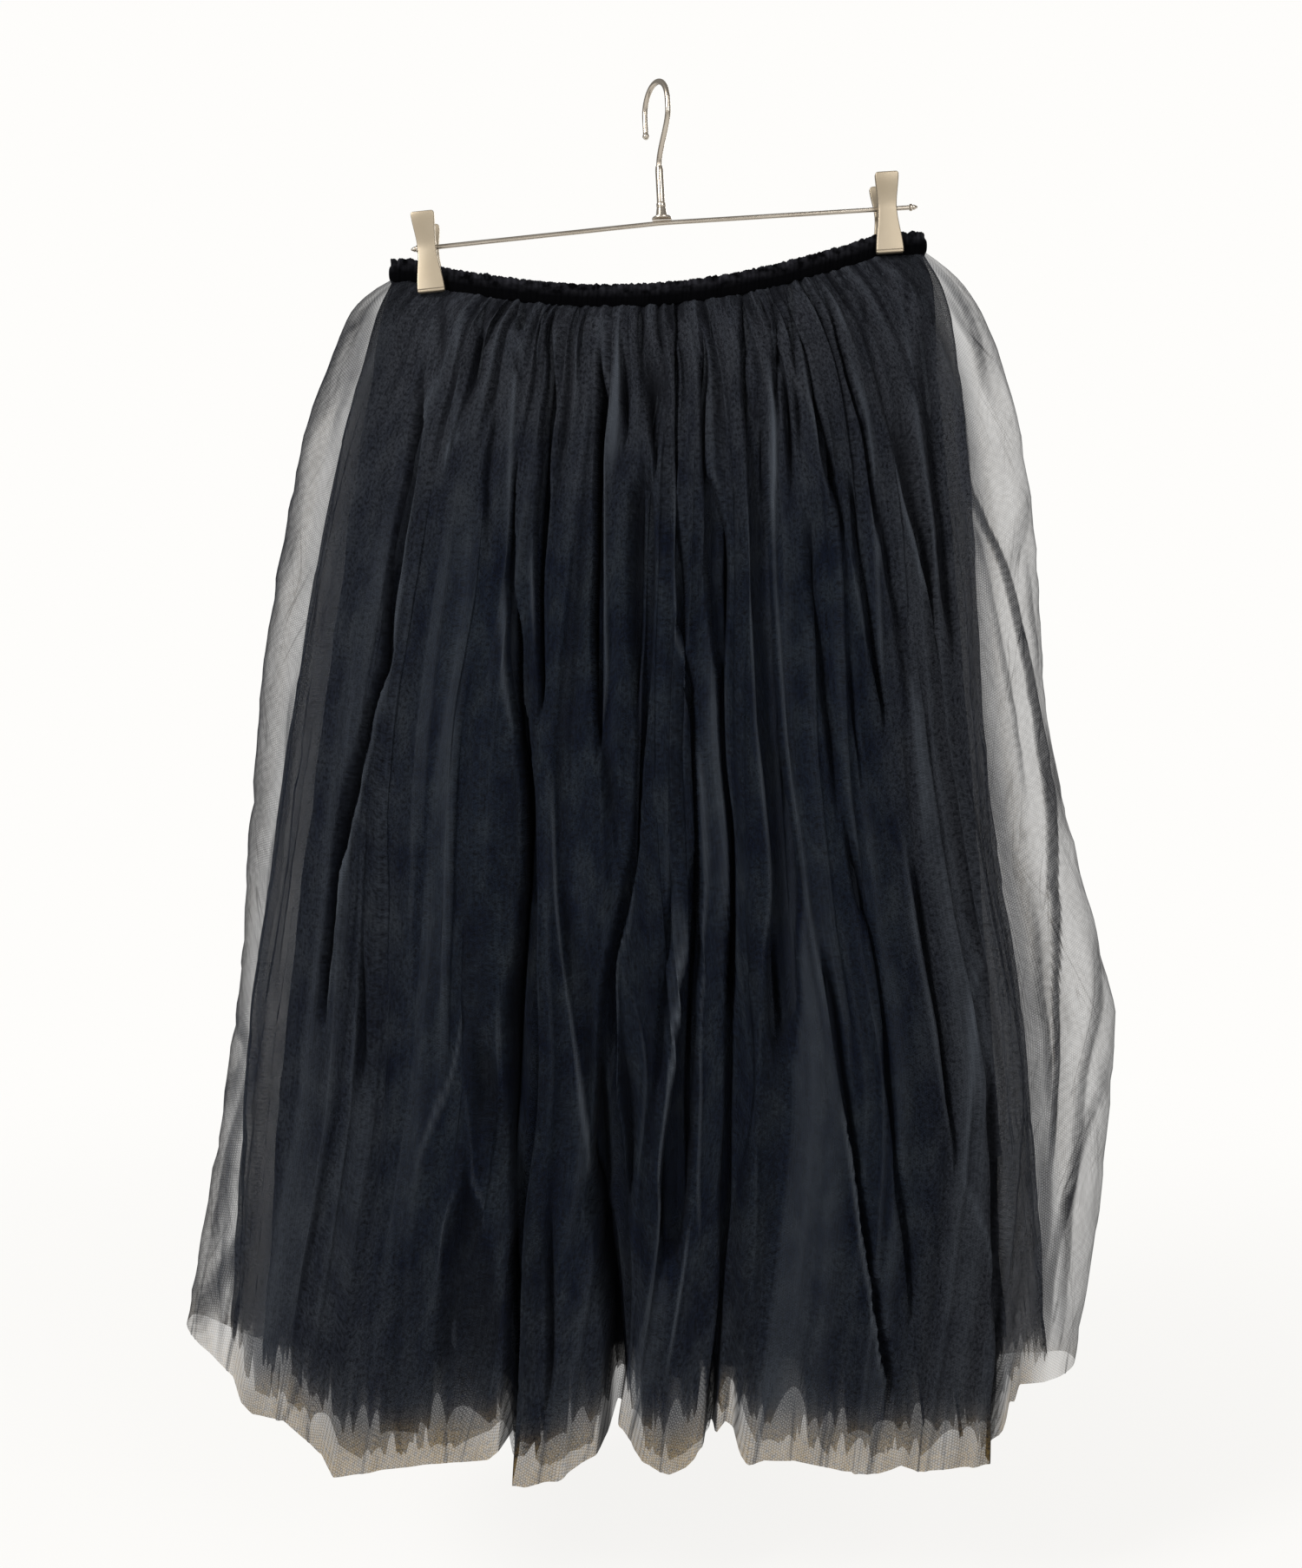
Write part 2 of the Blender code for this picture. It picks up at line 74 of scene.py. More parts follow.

# %% [markdown]
# ## Colour, node and mesh helpers
#
# Colours are given as sRGB hex values, but a shader adds up light, so each one is turned
# into linear light first. One helper adds any shader node, sets its properties, and sets or links
# its inputs, which keeps a material as short as its idea. Meshes are all made in the same few
# steps, so these have a helper too.

# %% Colour, node and mesh helpers
def linear(colour):
    """A hex colour such as #A0B1C2 as linear RGBA."""
    parts = [int(colour[i:i + 2], 16) / 255 for i in (1, 3, 5)]
    return (*[c / 12.92 if c <= 0.04045 else ((c + 0.055) / 1.055) ** 2.4 for c in parts], 1.0)


def fill(made, inputs):
    """Sets a node's inputs. One that is given a socket or a node is linked to it instead."""
    for key, value in inputs.items():
        if isinstance(value, bpy.types.Node):
            value = value.outputs[0]
        if isinstance(value, bpy.types.NodeSocket):
            made.id_data.links.new(value, made.inputs[key])
        else:
            made.inputs[key].default_value = value


def node(tree, kind, inputs=None, **settings):
    """A new shader node with its settings and inputs."""
    made = tree.nodes.new("ShaderNode" + kind)
    for name, value in settings.items():
        setattr(made, name, value)
    fill(made, inputs or {})
    return made


def fresh_material(name):
    """A new material, its node tree, and the Principled shader in it."""
    made = bpy.data.materials.new(name)
    made.use_nodes = True
    return made, made.node_tree, made.node_tree.nodes["Principled BSDF"]


def mesh_object(name, points, faces, material):
    """A smooth mesh in the scene, from points in metres and faces that count them from 0."""
    mesh = bpy.data.meshes.new(name)
    mesh.from_pydata([tuple(p) for p in points], [], [tuple(f) for f in faces])
    mesh.shade_smooth()
    mesh.materials.append(material)
    made = bpy.data.objects.new(name, mesh)
    scene.collection.objects.link(made)
    return made


print(f"#808080 is {linear('#808080')[0]:.3f} of white in linear light")

# %% [markdown]
# ## Camera
#
# The camera stands level with the middle of the skirt, a little over a metre away. It looks
# straight along +Y, because a camera that is tilted makes upright edges lean.

# %% Camera
CAMERA_DISTANCE = 1.15
VIEW_CENTRE = (-0.0028, -0.495)  # x and z that the camera looks at, straight along +Y
VIEW_HEIGHT = 1.1125  # what the long side of the view takes in, at the hanger
SENSOR = 36.0

camera_data = bpy.data.cameras.new("camera")
camera_data.sensor_width = SENSOR
camera_data.lens = SENSOR * CAMERA_DISTANCE / VIEW_HEIGHT
camera_data.clip_end = 100
camera = bpy.data.objects.new("camera", camera_data)
camera.location = (VIEW_CENTRE[0], -CAMERA_DISTANCE, VIEW_CENTRE[1])
camera.rotation_euler = (math.pi / 2, 0, 0)
scene.collection.objects.link(camera)
scene.camera = camera
scene.view_settings.view_transform = "Standard"
print(f"camera: {camera_data.lens:.1f} mm lens, {CAMERA_DISTANCE} m from the hanger")

# %% [markdown]
# ## Surroundings and floor
#
# Sheer cloth shows whatever is behind it, so it hangs before an even, pale ground. The floor runs
# out into the same tone as the surroundings, like a studio's paper sweep. The camera sees the
# paper at its full tone, but only a share of it lights the object, or black net would look grey.

# %% Surroundings and floor
PAPER = linear("#FEFDFB")
ROOM_LIGHT = 0.3  # the room's own light on the object, as a share of the paper's tone
FLOOR_Z = -1.075
FLOOR_RADIUS, FLOOR_SIDES = 6.0, 64
FLOOR_GLOW = 0.85  # share of the paper's tone in the floor under the skirt
FLOOR_NEAR, FLOOR_FAR = 0.3, 2.2  # where the floor starts and ends its change to the paper's tone

world = bpy.data.worlds.new("paper")
world.use_nodes = True
seen = node(world.node_tree, "LightPath").outputs["Is Camera Ray"]
strength = node(world.node_tree, "MapRange", {"Value": seen, "To Min": ROOM_LIGHT})
fill(world.node_tree.nodes["Background"], {"Color": PAPER, "Strength": strength})
scene.world = world


def floor_material():
    """Painted boards round the skirt, which pass into paper further out."""
    made, tree, shader = fresh_material("pale_painted_floor")
    fill(shader, {"Base Color": linear("#F2F0EC"), "Roughness": 0.9, "Specular IOR Level": 0.2})
    place = node(tree, "TexCoord").outputs["Object"]
    radius = node(tree, "VectorMath", {0: place}, operation="LENGTH").outputs["Value"]
    away = node(tree, "MapRange", {"Value": radius, "From Min": FLOOR_NEAR, "From Max": FLOOR_FAR},
                interpolation_type="SMOOTHSTEP")
    share = node(tree, "MapRange", {"Value": away, "To Min": FLOOR_GLOW})
    paper = node(tree, "Emission", {"Color": PAPER, "Strength": 1.0})
    mixed = node(tree, "MixShader", {0: share, 1: shader, 2: paper})
    fill(tree.nodes["Material Output"], {"Surface": mixed})
    return made


def floor_disc():
    angles = np.linspace(0, math.tau, FLOOR_SIDES, endpoint=False)
    ring = [(FLOOR_RADIUS * math.cos(a), FLOOR_RADIUS * math.sin(a), 0) for a in angles]
    made = mesh_object("floor", ring, [range(FLOOR_SIDES)], floor_material())
    made.location = (0, 0, FLOOR_Z)


floor_disc()
print("floor:", -FLOOR_Z, "m below the hook's rail")

# %% [markdown]
# ## Soft lights
#
# Three square area lights stand in for softboxes. The key stands to the front left, above the
# skirt, so the right walls of the folds stay dark and the folds can be read. A weak fill opens
# the shade, and a third light from behind lends the net's edges a little life.

# %% Soft lights
LIGHT_AIM = Vector((0, 0, -0.5))  # the skirt's middle


def softbox(name, place, size, watts):
    """A square area light at place, in metres, turned to the skirt's middle."""
    data = bpy.data.lights.new(name, "AREA")
    data.size = size
    data.energy = watts
    made = bpy.data.objects.new(name, data)
    made.location = place
    made.rotation_euler = (LIGHT_AIM - Vector(place)).to_track_quat("-Z", "Y").to_euler()
    scene.collection.objects.link(made)
    print(f"{name}: {size} m square, {watts} W")


softbox("key_softbox", (-1.9, -1.9, 1.05), 0.8, 82)
softbox("fill_softbox", (1.0, -2.2, 0.5), 1.0, 20)
softbox("back_softbox", (0.9, 2.0, 0.8), 1.2, 22)

# %% [markdown]
# ## The skirt's measurements
#
# These tables are the dressmaker's form that the cloth hangs on. Each layer has sections from the
# band (fall 0) to the hem (fall 1), with its half-widths to the left and right, how far it stands
# from the middle plane, and how much further its folds may stand. The solid model was made from
# the same form, so this net hangs where that cloth does.

# %% The form's tables, in millimetres
BAND_LEFT, BAND_RIGHT = -188.5, 192.5
BAND_TOP_LEFT, BAND_TOP_RIGHT = -124.0, -104.0  # the heights of the band's ends
BAND_SAG, SAG_CENTRE, SAG_REACH = 28.0, -8.0, 165.0  # how far it hangs down between the clips
BAND_HEIGHT, BAND_THICK = 16.0, 5.2
PANEL_DROP = 0.7  # from the band's foot to the top of the cloth
HOLLOW = 6.0  # from the middle plane to the inside of the band
PINCH, PINCH_FROM, PINCH_FULL = 0.88, 105.0, 150.0  # the share of it that the clips close, and the x
PINCH_FALL = 95.0  # how far down the pinch reaches
BACK_DEPTH, BACK_FULL = 0.92, 0.1  # the back's depth as a share of the front's, from this fall on
SQUARE_BAND, ROUND_HEM, SQUARE_FALL = 7.6, 2.4, 0.04  # a ring is nearly a slot at the band, oval below

Section = namedtuple("Section", "fall left right depth stand")
Layer = namedtuple("Layer", "name stack plain_left plain_right opens sections")
# stack: how far from the middle plane the layer lies where the clips press it flat.
# plain_left, plain_right: how much of that side's net hangs plain, without gathers.
# opens: the share of its fullness that a layer loses at the hem. Below zero, it gains.
OUTER = Layer("outer_tulle", 5.2, 1, 1, -0.1, [
    Section(0.00, 188.5, 192.5, 11.2, 3.0),
    Section(0.01, 202, 204, 13.5, 3.8),
    Section(0.03, 215, 219, 17.5, 5.0),
    Section(0.08, 229, 240, 28, 6),
    Section(0.15, 248, 257, 37, 7),
    Section(0.25, 262, 268, 47, 8),
    Section(0.40, 278, 276, 60, 9),
    Section(0.55, 286, 298, 68, 10),
    Section(0.70, 295, 324, 75, 10),
    Section(0.85, 311, 314, 80, 11),
    Section(1.00, 331, 295, 84, 12),
])
MIDDLE = Layer("middle_tulle", 3.8, 0.35, 0.75, 0.35, [
    Section(0.00, 187.1, 191.1, 9.8, 1.0),
    Section(0.03, 197, 204, 14.2, 2.0),
    Section(0.08, 207, 213, 22, 4),
    Section(0.15, 221, 218, 29, 5),
    Section(0.40, 250, 228, 48.5, 8),
    Section(0.55, 264, 239, 56, 9),
    Section(0.70, 280, 257, 62, 9),
    Section(1.00, 297, 276, 69, 10),
])
INNER = Layer("inner_tulle", 2.4, 0, 0, 0.75, [
    Section(0.00, 185.7, 189.7, 8.4, 1.0),
    Section(0.03, 193, 197, 10.7, 1.6),
    Section(0.08, 199, 198, 17, 3),
    Section(0.15, 208, 197, 22.5, 4),
    Section(0.40, 234, 205, 38, 7),
    Section(0.70, 261, 230, 50, 8),
    Section(1.00, 277, 248, 56, 9),
])
LINING = Layer("lining", 1.0, 0, 0, 0, [
    Section(0.00, 184.3, 188.3, 7.0, 0.5),
    Section(0.04, 188.5, 192, 8.0, 0.8),
    Section(0.19, 199, 203, 16.5, 3),
    Section(0.50, 226, 219, 29, 6),
    Section(1.00, 255, 244, 40, 8),
])
NEXT_INSIDE = {"outer_tulle": MIDDLE, "middle_tulle": INNER}
print("hem widths:", *(layer.sections[-1].left + layer.sections[-1].right
                       for layer in (OUTER, MIDDLE, INNER, LINING)), "mm")

# %% [markdown]
# ## Reading the tables
#
# A section is measured in only a few places. Between them the form has to be smooth, and it must
# never bulge past a measured width, so a monotone cubic joins them: it turns over only where the
# numbers do.

# %% Curves through the tables
def smoothstep(low, high, value):
    t = np.clip((value - low) / (high - low), 0, 1)
    return t * t * (3 - 2 * t)


def curve_through(xs, ys, at):
    """A smooth curve through the points that never overshoots them (a monotone cubic)."""
    xs, ys, at = np.asarray(xs, float), np.asarray(ys, float), np.asarray(at, float)
    step, slope = np.diff(xs), np.diff(ys) / np.diff(xs)
    turn = slope[:-1] * slope[1:] > 0
    total = np.where(turn, slope[:-1] + slope[1:], 1.0)
    middle = np.where(turn, 2 * slope[:-1] * slope[1:] / total, 0.0)
    tangent = np.concatenate([slope[:1], middle, slope[-1:]])
    i = np.clip(np.searchsorted(xs, at, side="right") - 1, 0, len(xs) - 2)
    t = np.clip((at - xs[i]) / step[i], 0, 1)
    a, b = ys[i], ys[i + 1]
    return (a * (1 + 2 * t) * (1 - t) ** 2 + b * t * t * (3 - 2 * t)
            + step[i] * (tangent[i] * t * (1 - t) ** 2 - tangent[i + 1] * t * t * (1 - t)))


def column(layer, name, fall):
    """One measure of a layer at these falls."""
    return curve_through([s.fall for s in layer.sections],
                         [getattr(s, name) for s in layer.sections], fall)


def half_width(layer, fall, x):
    """How far the layer reaches to the side that each x is on."""
    return np.where(x < 0, column(layer, "left", fall), column(layer, "right", fall))


def band_top(x):
    """The height of the band's top edge, which slopes and sags between the clips."""
    along = (x - BAND_LEFT) / (BAND_RIGHT - BAND_LEFT)
    line = BAND_TOP_LEFT + (BAND_TOP_RIGHT - BAND_TOP_LEFT) * along
    return line - BAND_SAG * np.maximum(0, 1 - ((x - SAG_CENTRE) / SAG_REACH) ** 2)


def open_share(x, drop):
    """How open the skirt is from front to back, that far under the band: the clips pinch it."""
    pinch = PINCH * smoothstep(PINCH_FROM, PINCH_FULL, np.abs(x))
    return 1 - pinch * np.exp(-((drop / PINCH_FALL) ** 2))


print(f"the band's lowest top edge is at {band_top(SAG_CENTRE):.0f} mm")

# %% [markdown]
# ## Hems
#
# The net is cut raw, because it doesn't fray, so a hem is only a line. The outer one dips under
# each panel and jumps where the cloth doubles back into a valley. The nets inside it end a little
# higher and were cut less evenly, so their hems are ragged and leave a clear strip of single net.

# %% Hem lines
OUTER_HEM = [  # x and z along the front, from left to right
    (-331, -873), (-317, -879), (-287, -898), (-281, -914), (-272, -920), (-249, -922),
    (-237, -933), (-221, -943), (-214, -957), (-196, -953), (-148, -945), (-110, -940),
    (-101, -933), (-98, -940), (-95, -958), (-86, -958), (-66, -953), (-49, -941), (-37, -935),
    (-31, -914), (-26, -914), (-20, -918), (-14, -926), (-8, -941), (3, -948), (9, -950),
    (14, -948), (20, -945), (26, -939), (31, -935), (37, -930), (43, -924), (49, -914),
    (54, -918), (58, -936), (61, -943), (71, -939), (91, -940), (100, -942), (123, -948),
    (147, -951), (157, -949), (163, -947), (175, -952), (190, -952), (205, -951), (222, -951),
    (229, -952), (234, -934), (239, -911), (243, -912), (247, -901), (266, -903), (284, -902),
    (295, -901),
]
HEM_X, HEM_Z = zip(*OUTER_HEM)
BACK_HEM = -934.0
SCALLOPS = ((7, 21, 0.0), (4, 9.5, 1.3))  # waves in the back's hem: height, length over tau, start
RAGGED_BITE, RAGGED_SKEW = 1.5, (0.5, 1.4)  # most arches are low, and they lean in different ways
LINING_HEM = (-765.0, -779.0, -755.0)  # its height at the left, the middle and the right


def outer_hem(share, x, y):
    front = np.interp(x, HEM_X, HEM_Z)
    ends = np.interp(np.where(share < 0, x.min(), x.max()), HEM_X, HEM_Z)
    waves = sum(height * np.sin(x / length + start) for height, length, start in SCALLOPS)
    back = BACK_HEM - waves * (1 - np.abs(share) ** 4)
    back = back + (ends - back) * np.abs(share) ** 6
    return np.where(y <= 0, front, back)


def ragged_hem(rng, tips, gap, rise):
    """A hem that ends at least gap above the outer one: an arch at each gather, between points."""
    place = np.sort(rng.uniform(0, 1, tips))
    high = rng.uniform(0.15, 1, tips) ** RAGGED_BITE * rise
    least, spread = RAGGED_SKEW

    def line(share, x, y):
        at = (np.linspace(0, 1, len(share)) - place[0]) % 1 + place[0]
        i = np.searchsorted(place, at, side="right") - 1
        after = np.append(place[1:], place[0] + 1)[i]
        skew = least + spread * (997 * place[i] % 1)  # a number that looks random but isn't drawn
        arch = np.sin(np.pi * ((at - place[i]) / (after - place[i])) ** skew) ** (1.3 - 0.5 * skew)
        return outer_hem(share, x, y) + gap + high[i] * arch

    return line


def lining_hem(share, x, y):
    left, middle, right = LINING_HEM
    return middle + (np.where(share < 0, left, right) - middle) * share ** 2


print("the outer hem's points run from", min(HEM_Z), "to", max(HEM_Z), "mm")

# %% [markdown]
# ## Folds
#
# Real gathers are thread-true: every fold runs down the cloth from its own stitch, and it widens,
# merges or fades on its way to the hem. A cloth simulation would place them by chance. Here each
# fold is a soft ridge (or a trough, if its height is below zero) between two edges that run down
# the cloth, so the big ones can be put where they hang and the small ones scattered with a fixed
# seed. A fold can lean, which pushes its crest sideways over its neighbour and makes the double
# edge that shows on sheer net. It also carries painted light: net deep in a fold is painted darker
# as shade, and net along a fold's edge, whose threads line up and catch the light, is painted paler
# as a highlight. Net doubled in a fold is dense, and covers more of what is behind it.

# %% Folds
Fold = namedtuple("Fold", "path height tone lean crisp life dense", defaults=[0.0])
# path: rows of (fall, left edge, right edge), the edges as shares of the way round the ring.
# height, lean: millimetres. Painted light: how much paler (a painted highlight), or darker below zero
# (painted shade), the net is painted there.
# crisp: 2 is a round crest and 6 a flat one with sharp edges.
# life: the falls where the fold starts, is full, starts to fade and ends.
# dense: how many more thicknesses of net lie in it.

WHOLE = (-0.02, 0.16, 1.2, 1.4)  # the life of a fold that runs from band to hem


def life_curve(life, fall):
    """How much of a fold there is at this fall, from 0 to 1."""
    start, full, fade, end = life
    return smoothstep(start, full, fall) * (1 - smoothstep(fade, end, fall))


def fold_shape(folds, fall, way, total):
    """Height, sideways lean, painted shade and highlight, and density of all the folds, at every point
    of every ring.
    """
    shape = np.zeros((4, *way.shape))
    for fold in folds:
        alive = life_curve(fold.life, fall)
        rows = np.nonzero(alive > 0.003)[0]
        if not len(rows):
            continue
        falls, lefts, rights = zip(*fold.path)
        left, right = (curve_through(falls, edge, fall[rows])[:, None] * total[rows]
                       for edge in (lefts, rights))
        off = (way[rows] - (left + right) / 2 + total[rows] / 2) % total[rows] - total[rows] / 2
        bump = np.exp(-np.abs(2 * off / (right - left)) ** fold.crisp) * alive[rows][:, None]
        for k, amount in enumerate((fold.height, fold.lean, fold.tone, fold.dense)):
            shape[k, rows] += amount * bump
    return shape


print("at fall 0.05, a fold that runs all the way has", f"{life_curve(WHOLE, 0.05):.2f} of its height")

# %% [markdown]
# ## The way round
#
# Folds are placed by their share of the way round the ring, because that share stays with a thread
# from the band to the hem. A dressmaker sees where a fold hangs instead: so far from the middle,
# and so far down. These helpers turn one into the other, as it looks from where the camera stands.

# %% The way round a ring
RING = 3000  # points that a section is measured with
FALL_TOP, FALL_LENGTH = -150.0, 775.0  # turn a height on the skirt into a first guess of its fall
EASE = 0.035  # the fall over which a listed fold starts and ends
SHADE_AT = 26.0  # a trough this deep, in mm, is painted black, as shade
NARROWEST = 0.0012  # of a fold, as a share of the way round


def ring_points(layer, fall):
    """A section's outline at each fall: share of the half-width, x, y, and height of the top.

    The ring starts at the left side, runs along the front to the right side, and back behind.
    """
    tau = np.linspace(0, 2, RING + 1)
    front = tau <= 1
    share = np.where(front, -np.cos(np.pi * tau), np.cos(np.pi * (tau - 1)))
    fall = np.asarray(fall)[:, None]
    left, right = column(layer, "left", fall), column(layer, "right", fall)
    x = (left + (right - left) * (1 + share) / 2) * share
    band = layer.sections[0]
    band_x = (band.left + (band.right - band.left) * (1 + share) / 2) * share
    top = band_top(band_x) - BAND_HEIGHT - PANEL_DROP
    square = ROUND_HEM + SQUARE_BAND * np.exp(-fall / SQUARE_FALL)
    turn = np.maximum(0, 1 - np.abs(share) ** square) ** (1 / square)
    depth = (column(layer, "depth", fall) - layer.stack) * open_share(band_x, fall * FALL_LENGTH)
    depth = depth * np.where(front, 1, 1 - (1 - BACK_DEPTH) * np.minimum(1, fall / BACK_FULL))
    y = np.where(front, -1, 1) * (layer.stack + depth) * turn
    return share, x, y, top


def cumulative(x, y):
    """Distance along each row of points."""
    step = np.hypot(np.diff(x, axis=1), np.diff(y, axis=1))
    return np.concatenate([np.zeros((len(step), 1)), np.cumsum(step, axis=1)], axis=1)


def fall_at(x, z):
    """The fall of the outer net that hangs at x and z on the front."""
    side = "left" if x < 0 else "right"
    fall = (FALL_TOP - z) / FALL_LENGTH
    for _ in range(3):
        share = min(1.0, abs(x) / float(column(OUTER, side, min(1.0, max(0.0, fall)))))
        band_x, hem_x = (math.copysign(share * float(column(OUTER, side, end)), x)
                         for end in (0.0, 1.0))
        top = float(band_top(band_x)) - BAND_HEIGHT - PANEL_DROP
        fall = (top - z) / (top - float(np.interp(hem_x, HEM_X, HEM_Z)))
    return fall


def place_of(fall, xs):
    """Where each x lies round the outer layer, as a share of the way.

    The x values are as they look from the camera, on a plane through the front's middle.
    """
    _, x, y, _ = ring_points(OUTER, [fall])
    way, half = cumulative(x, y)[0], RING // 2 + 1
    far = CAMERA_DISTANCE / MM + y[0, :half]
    looks = np.maximum.accumulate(x[0, :half] * far[half // 2] / far)
    return np.interp(xs, looks, way[:half]) / way[-1]


def hung(height, rows, lean=0.0, crisp=2.6, tone=None, dense=0.0):
    """A listed fold: rows of (z, left x, right x) in mm, from its top to its end."""
    path = []
    for z, left, right in rows:
        fall = fall_at((left + right) / 2, z)
        a, b = sorted(place_of(min(1.0, max(0.0, fall)), [left, right]))
        path.append((fall, a, max(b, a + NARROWEST)))
    start, end = path[0][0], path[-1][0]
    ease = min(EASE, (end - start) / 2)
    # unless told otherwise, a trough is painted darker as shade, in step with its depth
    tone = height / SHADE_AT if tone is None else tone
    life = (start - ease, start + ease, end - ease, end + ease)
    return Fold(path, height, tone, lean, crisp, life, dense)


print(f"a fold at x 100, z -500 mm hangs at fall {fall_at(100, -500):.2f}")

# %% [markdown]
# ## Pushing a ring into folds
#
# A fold pushes the cloth out, and a lean pushes it along the ring. Cloth that two folds push out
# can't stand further than the form allows, so the sum is limited softly. Real net is never smooth
# between its folds either: small waves from two sizes of cell crumple it.

# %% Crumpling and pushing
CRUMPLES = ((44, 22, 0.15, 1.0), (110, 60, 0.08, 0.8))
# cells round the ring and down it, the fall from which they are full, and their share of the waves


def soft_limit(value, most):
    return most * np.tanh(value / np.maximum(most, 1e-6))


def crumple(rng, fall, way, total, cells_round, cells_down):
    """Smooth random waves from -1 to 1, in cells of cloth, that close round the ring."""
    heights = rng.uniform(-1, 1, (cells_down + 2, cells_round))
    u, v = way / total * cells_round, np.broadcast_to(fall[:, None] * cells_down, way.shape)
    i, j = np.floor(u).astype(int), np.floor(v).astype(int)
    fu, fv = smoothstep(0, 1, u - i), smoothstep(0, 1, v - j)
    a, b = i % cells_round, (i + 1) % cells_round
    upper = heights[j, a] * (1 - fu) + heights[j, b] * fu
    lower = heights[j + 1, a] * (1 - fu) + heights[j + 1, b] * fu
    return upper * (1 - fv) + lower * fv


def pushed(x, y, height, sideways):
    """Each ring's points, pushed outwards by the height and along the ring by the lean."""
    along_x, along_y = np.gradient(x, axis=1), np.gradient(y, axis=1)
    size = np.hypot(along_x, along_y) + 1e-9
    along_x, along_y = along_x / size, along_y / size
    px = x + along_y * height + along_x * sideways
    py = y - along_x * height + along_y * sideways
    px[:, -1], py[:, -1] = px[:, 0], py[:, 0]
    return px, py


print("crumpled in cells of", *(f"{1 / cells:.3f}" for cells, _, _, _ in CRUMPLES), "of the way round")

# %% [markdown]
# ## How thick the net is
#
# Five things about the net change from point to point, and the material reads each as an
# attribute. Fullness is how many thicknesses there are. Where the net hangs in gathers too fine to
# build, it has more threads to the inch, and at the two sides it hangs plain. The folds give
# painted light: painted shade in their depths and a painted highlight along their edges. A painted
# backlight makes the net lighter where light comes through all the layers. Where one net hangs
# past the ones inside it, it is painted a warm tint for the light behind. Beside is the part of
# that lone net at the two sides, where old creases and watery rings show.

# %% The net's fullness and light
PLAIN_FROM, PLAIN_TO = 0.8, 0.91  # shares of the half-width between which the gathers end
PLAIN_LEFT, PLAIN_RIGHT = 0.96, 0.63  # thicknesses of plain net: the right side is drawn thin
OPENS_FROM = 0.95  # the fall where the fine gathers start to open out, or close up, to the hem
LONE_FROM = 0.95  # the fall where a layer starts to hang past the ones inside it
LONE_SIDE, LONE_EDGE = 1.01, 1.05  # where it stands out sideways, over the next one's half-width
LONE_BESIDE = 0.24  # the painted warm tint there, as a share of the hem's
# painted backlight: how much lighter the net is painted at the sides, near the band and at the hem
VEIL_SIDE, VEIL_LEFT, VEIL_RIGHT = (0.48, 0.7), 0.4, 0.95  # from and to this share of the half-width
VEIL_BAND, VEIL_BAND_FALLS = 0.95, (0.02, 0.3)
VEIL_HEM, VEIL_HEM_FALLS = 0.35, (0.75, 0.95)


def painted_backlight_at(fall, x):
    """How much lighter the net is painted, for the light through the layers: near the band, at the sides
    and at the hem.
    """
    most = np.where(x < 0, VEIL_LEFT, VEIL_RIGHT)
    side = smoothstep(*VEIL_SIDE, np.abs(x) / half_width(OUTER, fall, x)) * most
    top = VEIL_BAND * (1 - smoothstep(*VEIL_BAND_FALLS, fall))
    hem = VEIL_HEM * smoothstep(*VEIL_HEM_FALLS, fall)
    return 1 - (1 - side) * (1 - top) * (1 - hem)


def hangs_plain(layer, x):
    return np.where(x < 0, layer.plain_left, layer.plain_right)


def fullness_at(layer, down, share, x, gathering, dense):
    """Thicknesses of net. gathering: how many there would be if all the cloth were gathered."""
    gathered = 1 - hangs_plain(layer, x) * smoothstep(PLAIN_FROM, PLAIN_TO, np.abs(share))
    plain = np.where(x < 0, PLAIN_LEFT, PLAIN_RIGHT) if layer is OUTER else 1
    plain = 1 + (plain - 1) * (1 - gathered)
    full = plain + (gathering - 1) * gathered
    return full * (1 - layer.opens * smoothstep(OPENS_FROM, 1, down)) + dense


def lone_at(layer, down, x, dense):
    """How far one net hangs alone, and how far it does so at the sides."""
    inside = half_width(NEXT_INSIDE.get(layer.name, layer), down, x)
    beside = hangs_plain(layer, x) * smoothstep(LONE_SIDE, LONE_EDGE, np.abs(x) / inside)
    below = hangs_plain(layer, x) * smoothstep(LONE_FROM, 1, down)
    # the first is where one net hangs alone, which is painted a warm tint for the light behind it
    return np.maximum(LONE_BESIDE * beside, below) / (1 + 2 * dense), beside


print(f"veil at the middle of the front: {painted_backlight_at(np.array([0.5]), np.array([0.0]))[0]:.2f}")

# %% [markdown]
# ## A layer's cloth
#
# A layer is one tube of cloth. Its rings are pushed into the shared folds and its own ones, its
# top edge goes up under the casing, and its foot follows the hem. Then it is cut into even columns
# that follow the threads. The front, which is looked at most, has the finer ones.

# %% A layer's cloth
ROW_SPACING = 1.1  # above 1, the mesh's rows lie closer together near the band
TUCK_IN, TUCK_UP, TUCK_FALL = 1.8, 2.4, 0.012  # how the top edge goes up under the casing
SHARED_AT_BAND, SHARED_GROWS = 0.35, 0.7  # the shared folds' size at the band, and how it grows
DARKEST, PALEST = 0.15, 2  # the painted light of the deepest trough (painted shade) and of the sharpest crest (painted highlight)
FRONT_COLUMNS = 0.68  # of the mesh's columns, which makes the front's net the finer one

Sheet = namedtuple("Sheet", "points u v fullness tone veil lone beside")
LOOKS = Sheet._fields[3:]


def mesh_columns(way, columns):
    """Where the mesh's columns lie, as shares of the way round."""
    half, front = way[-1, RING // 2] / way[-1, -1], round(columns * FRONT_COLUMNS)
    return np.concatenate([np.linspace(0, half, front + 1)[:-1],
                           np.linspace(half, 1, columns - front + 1)])


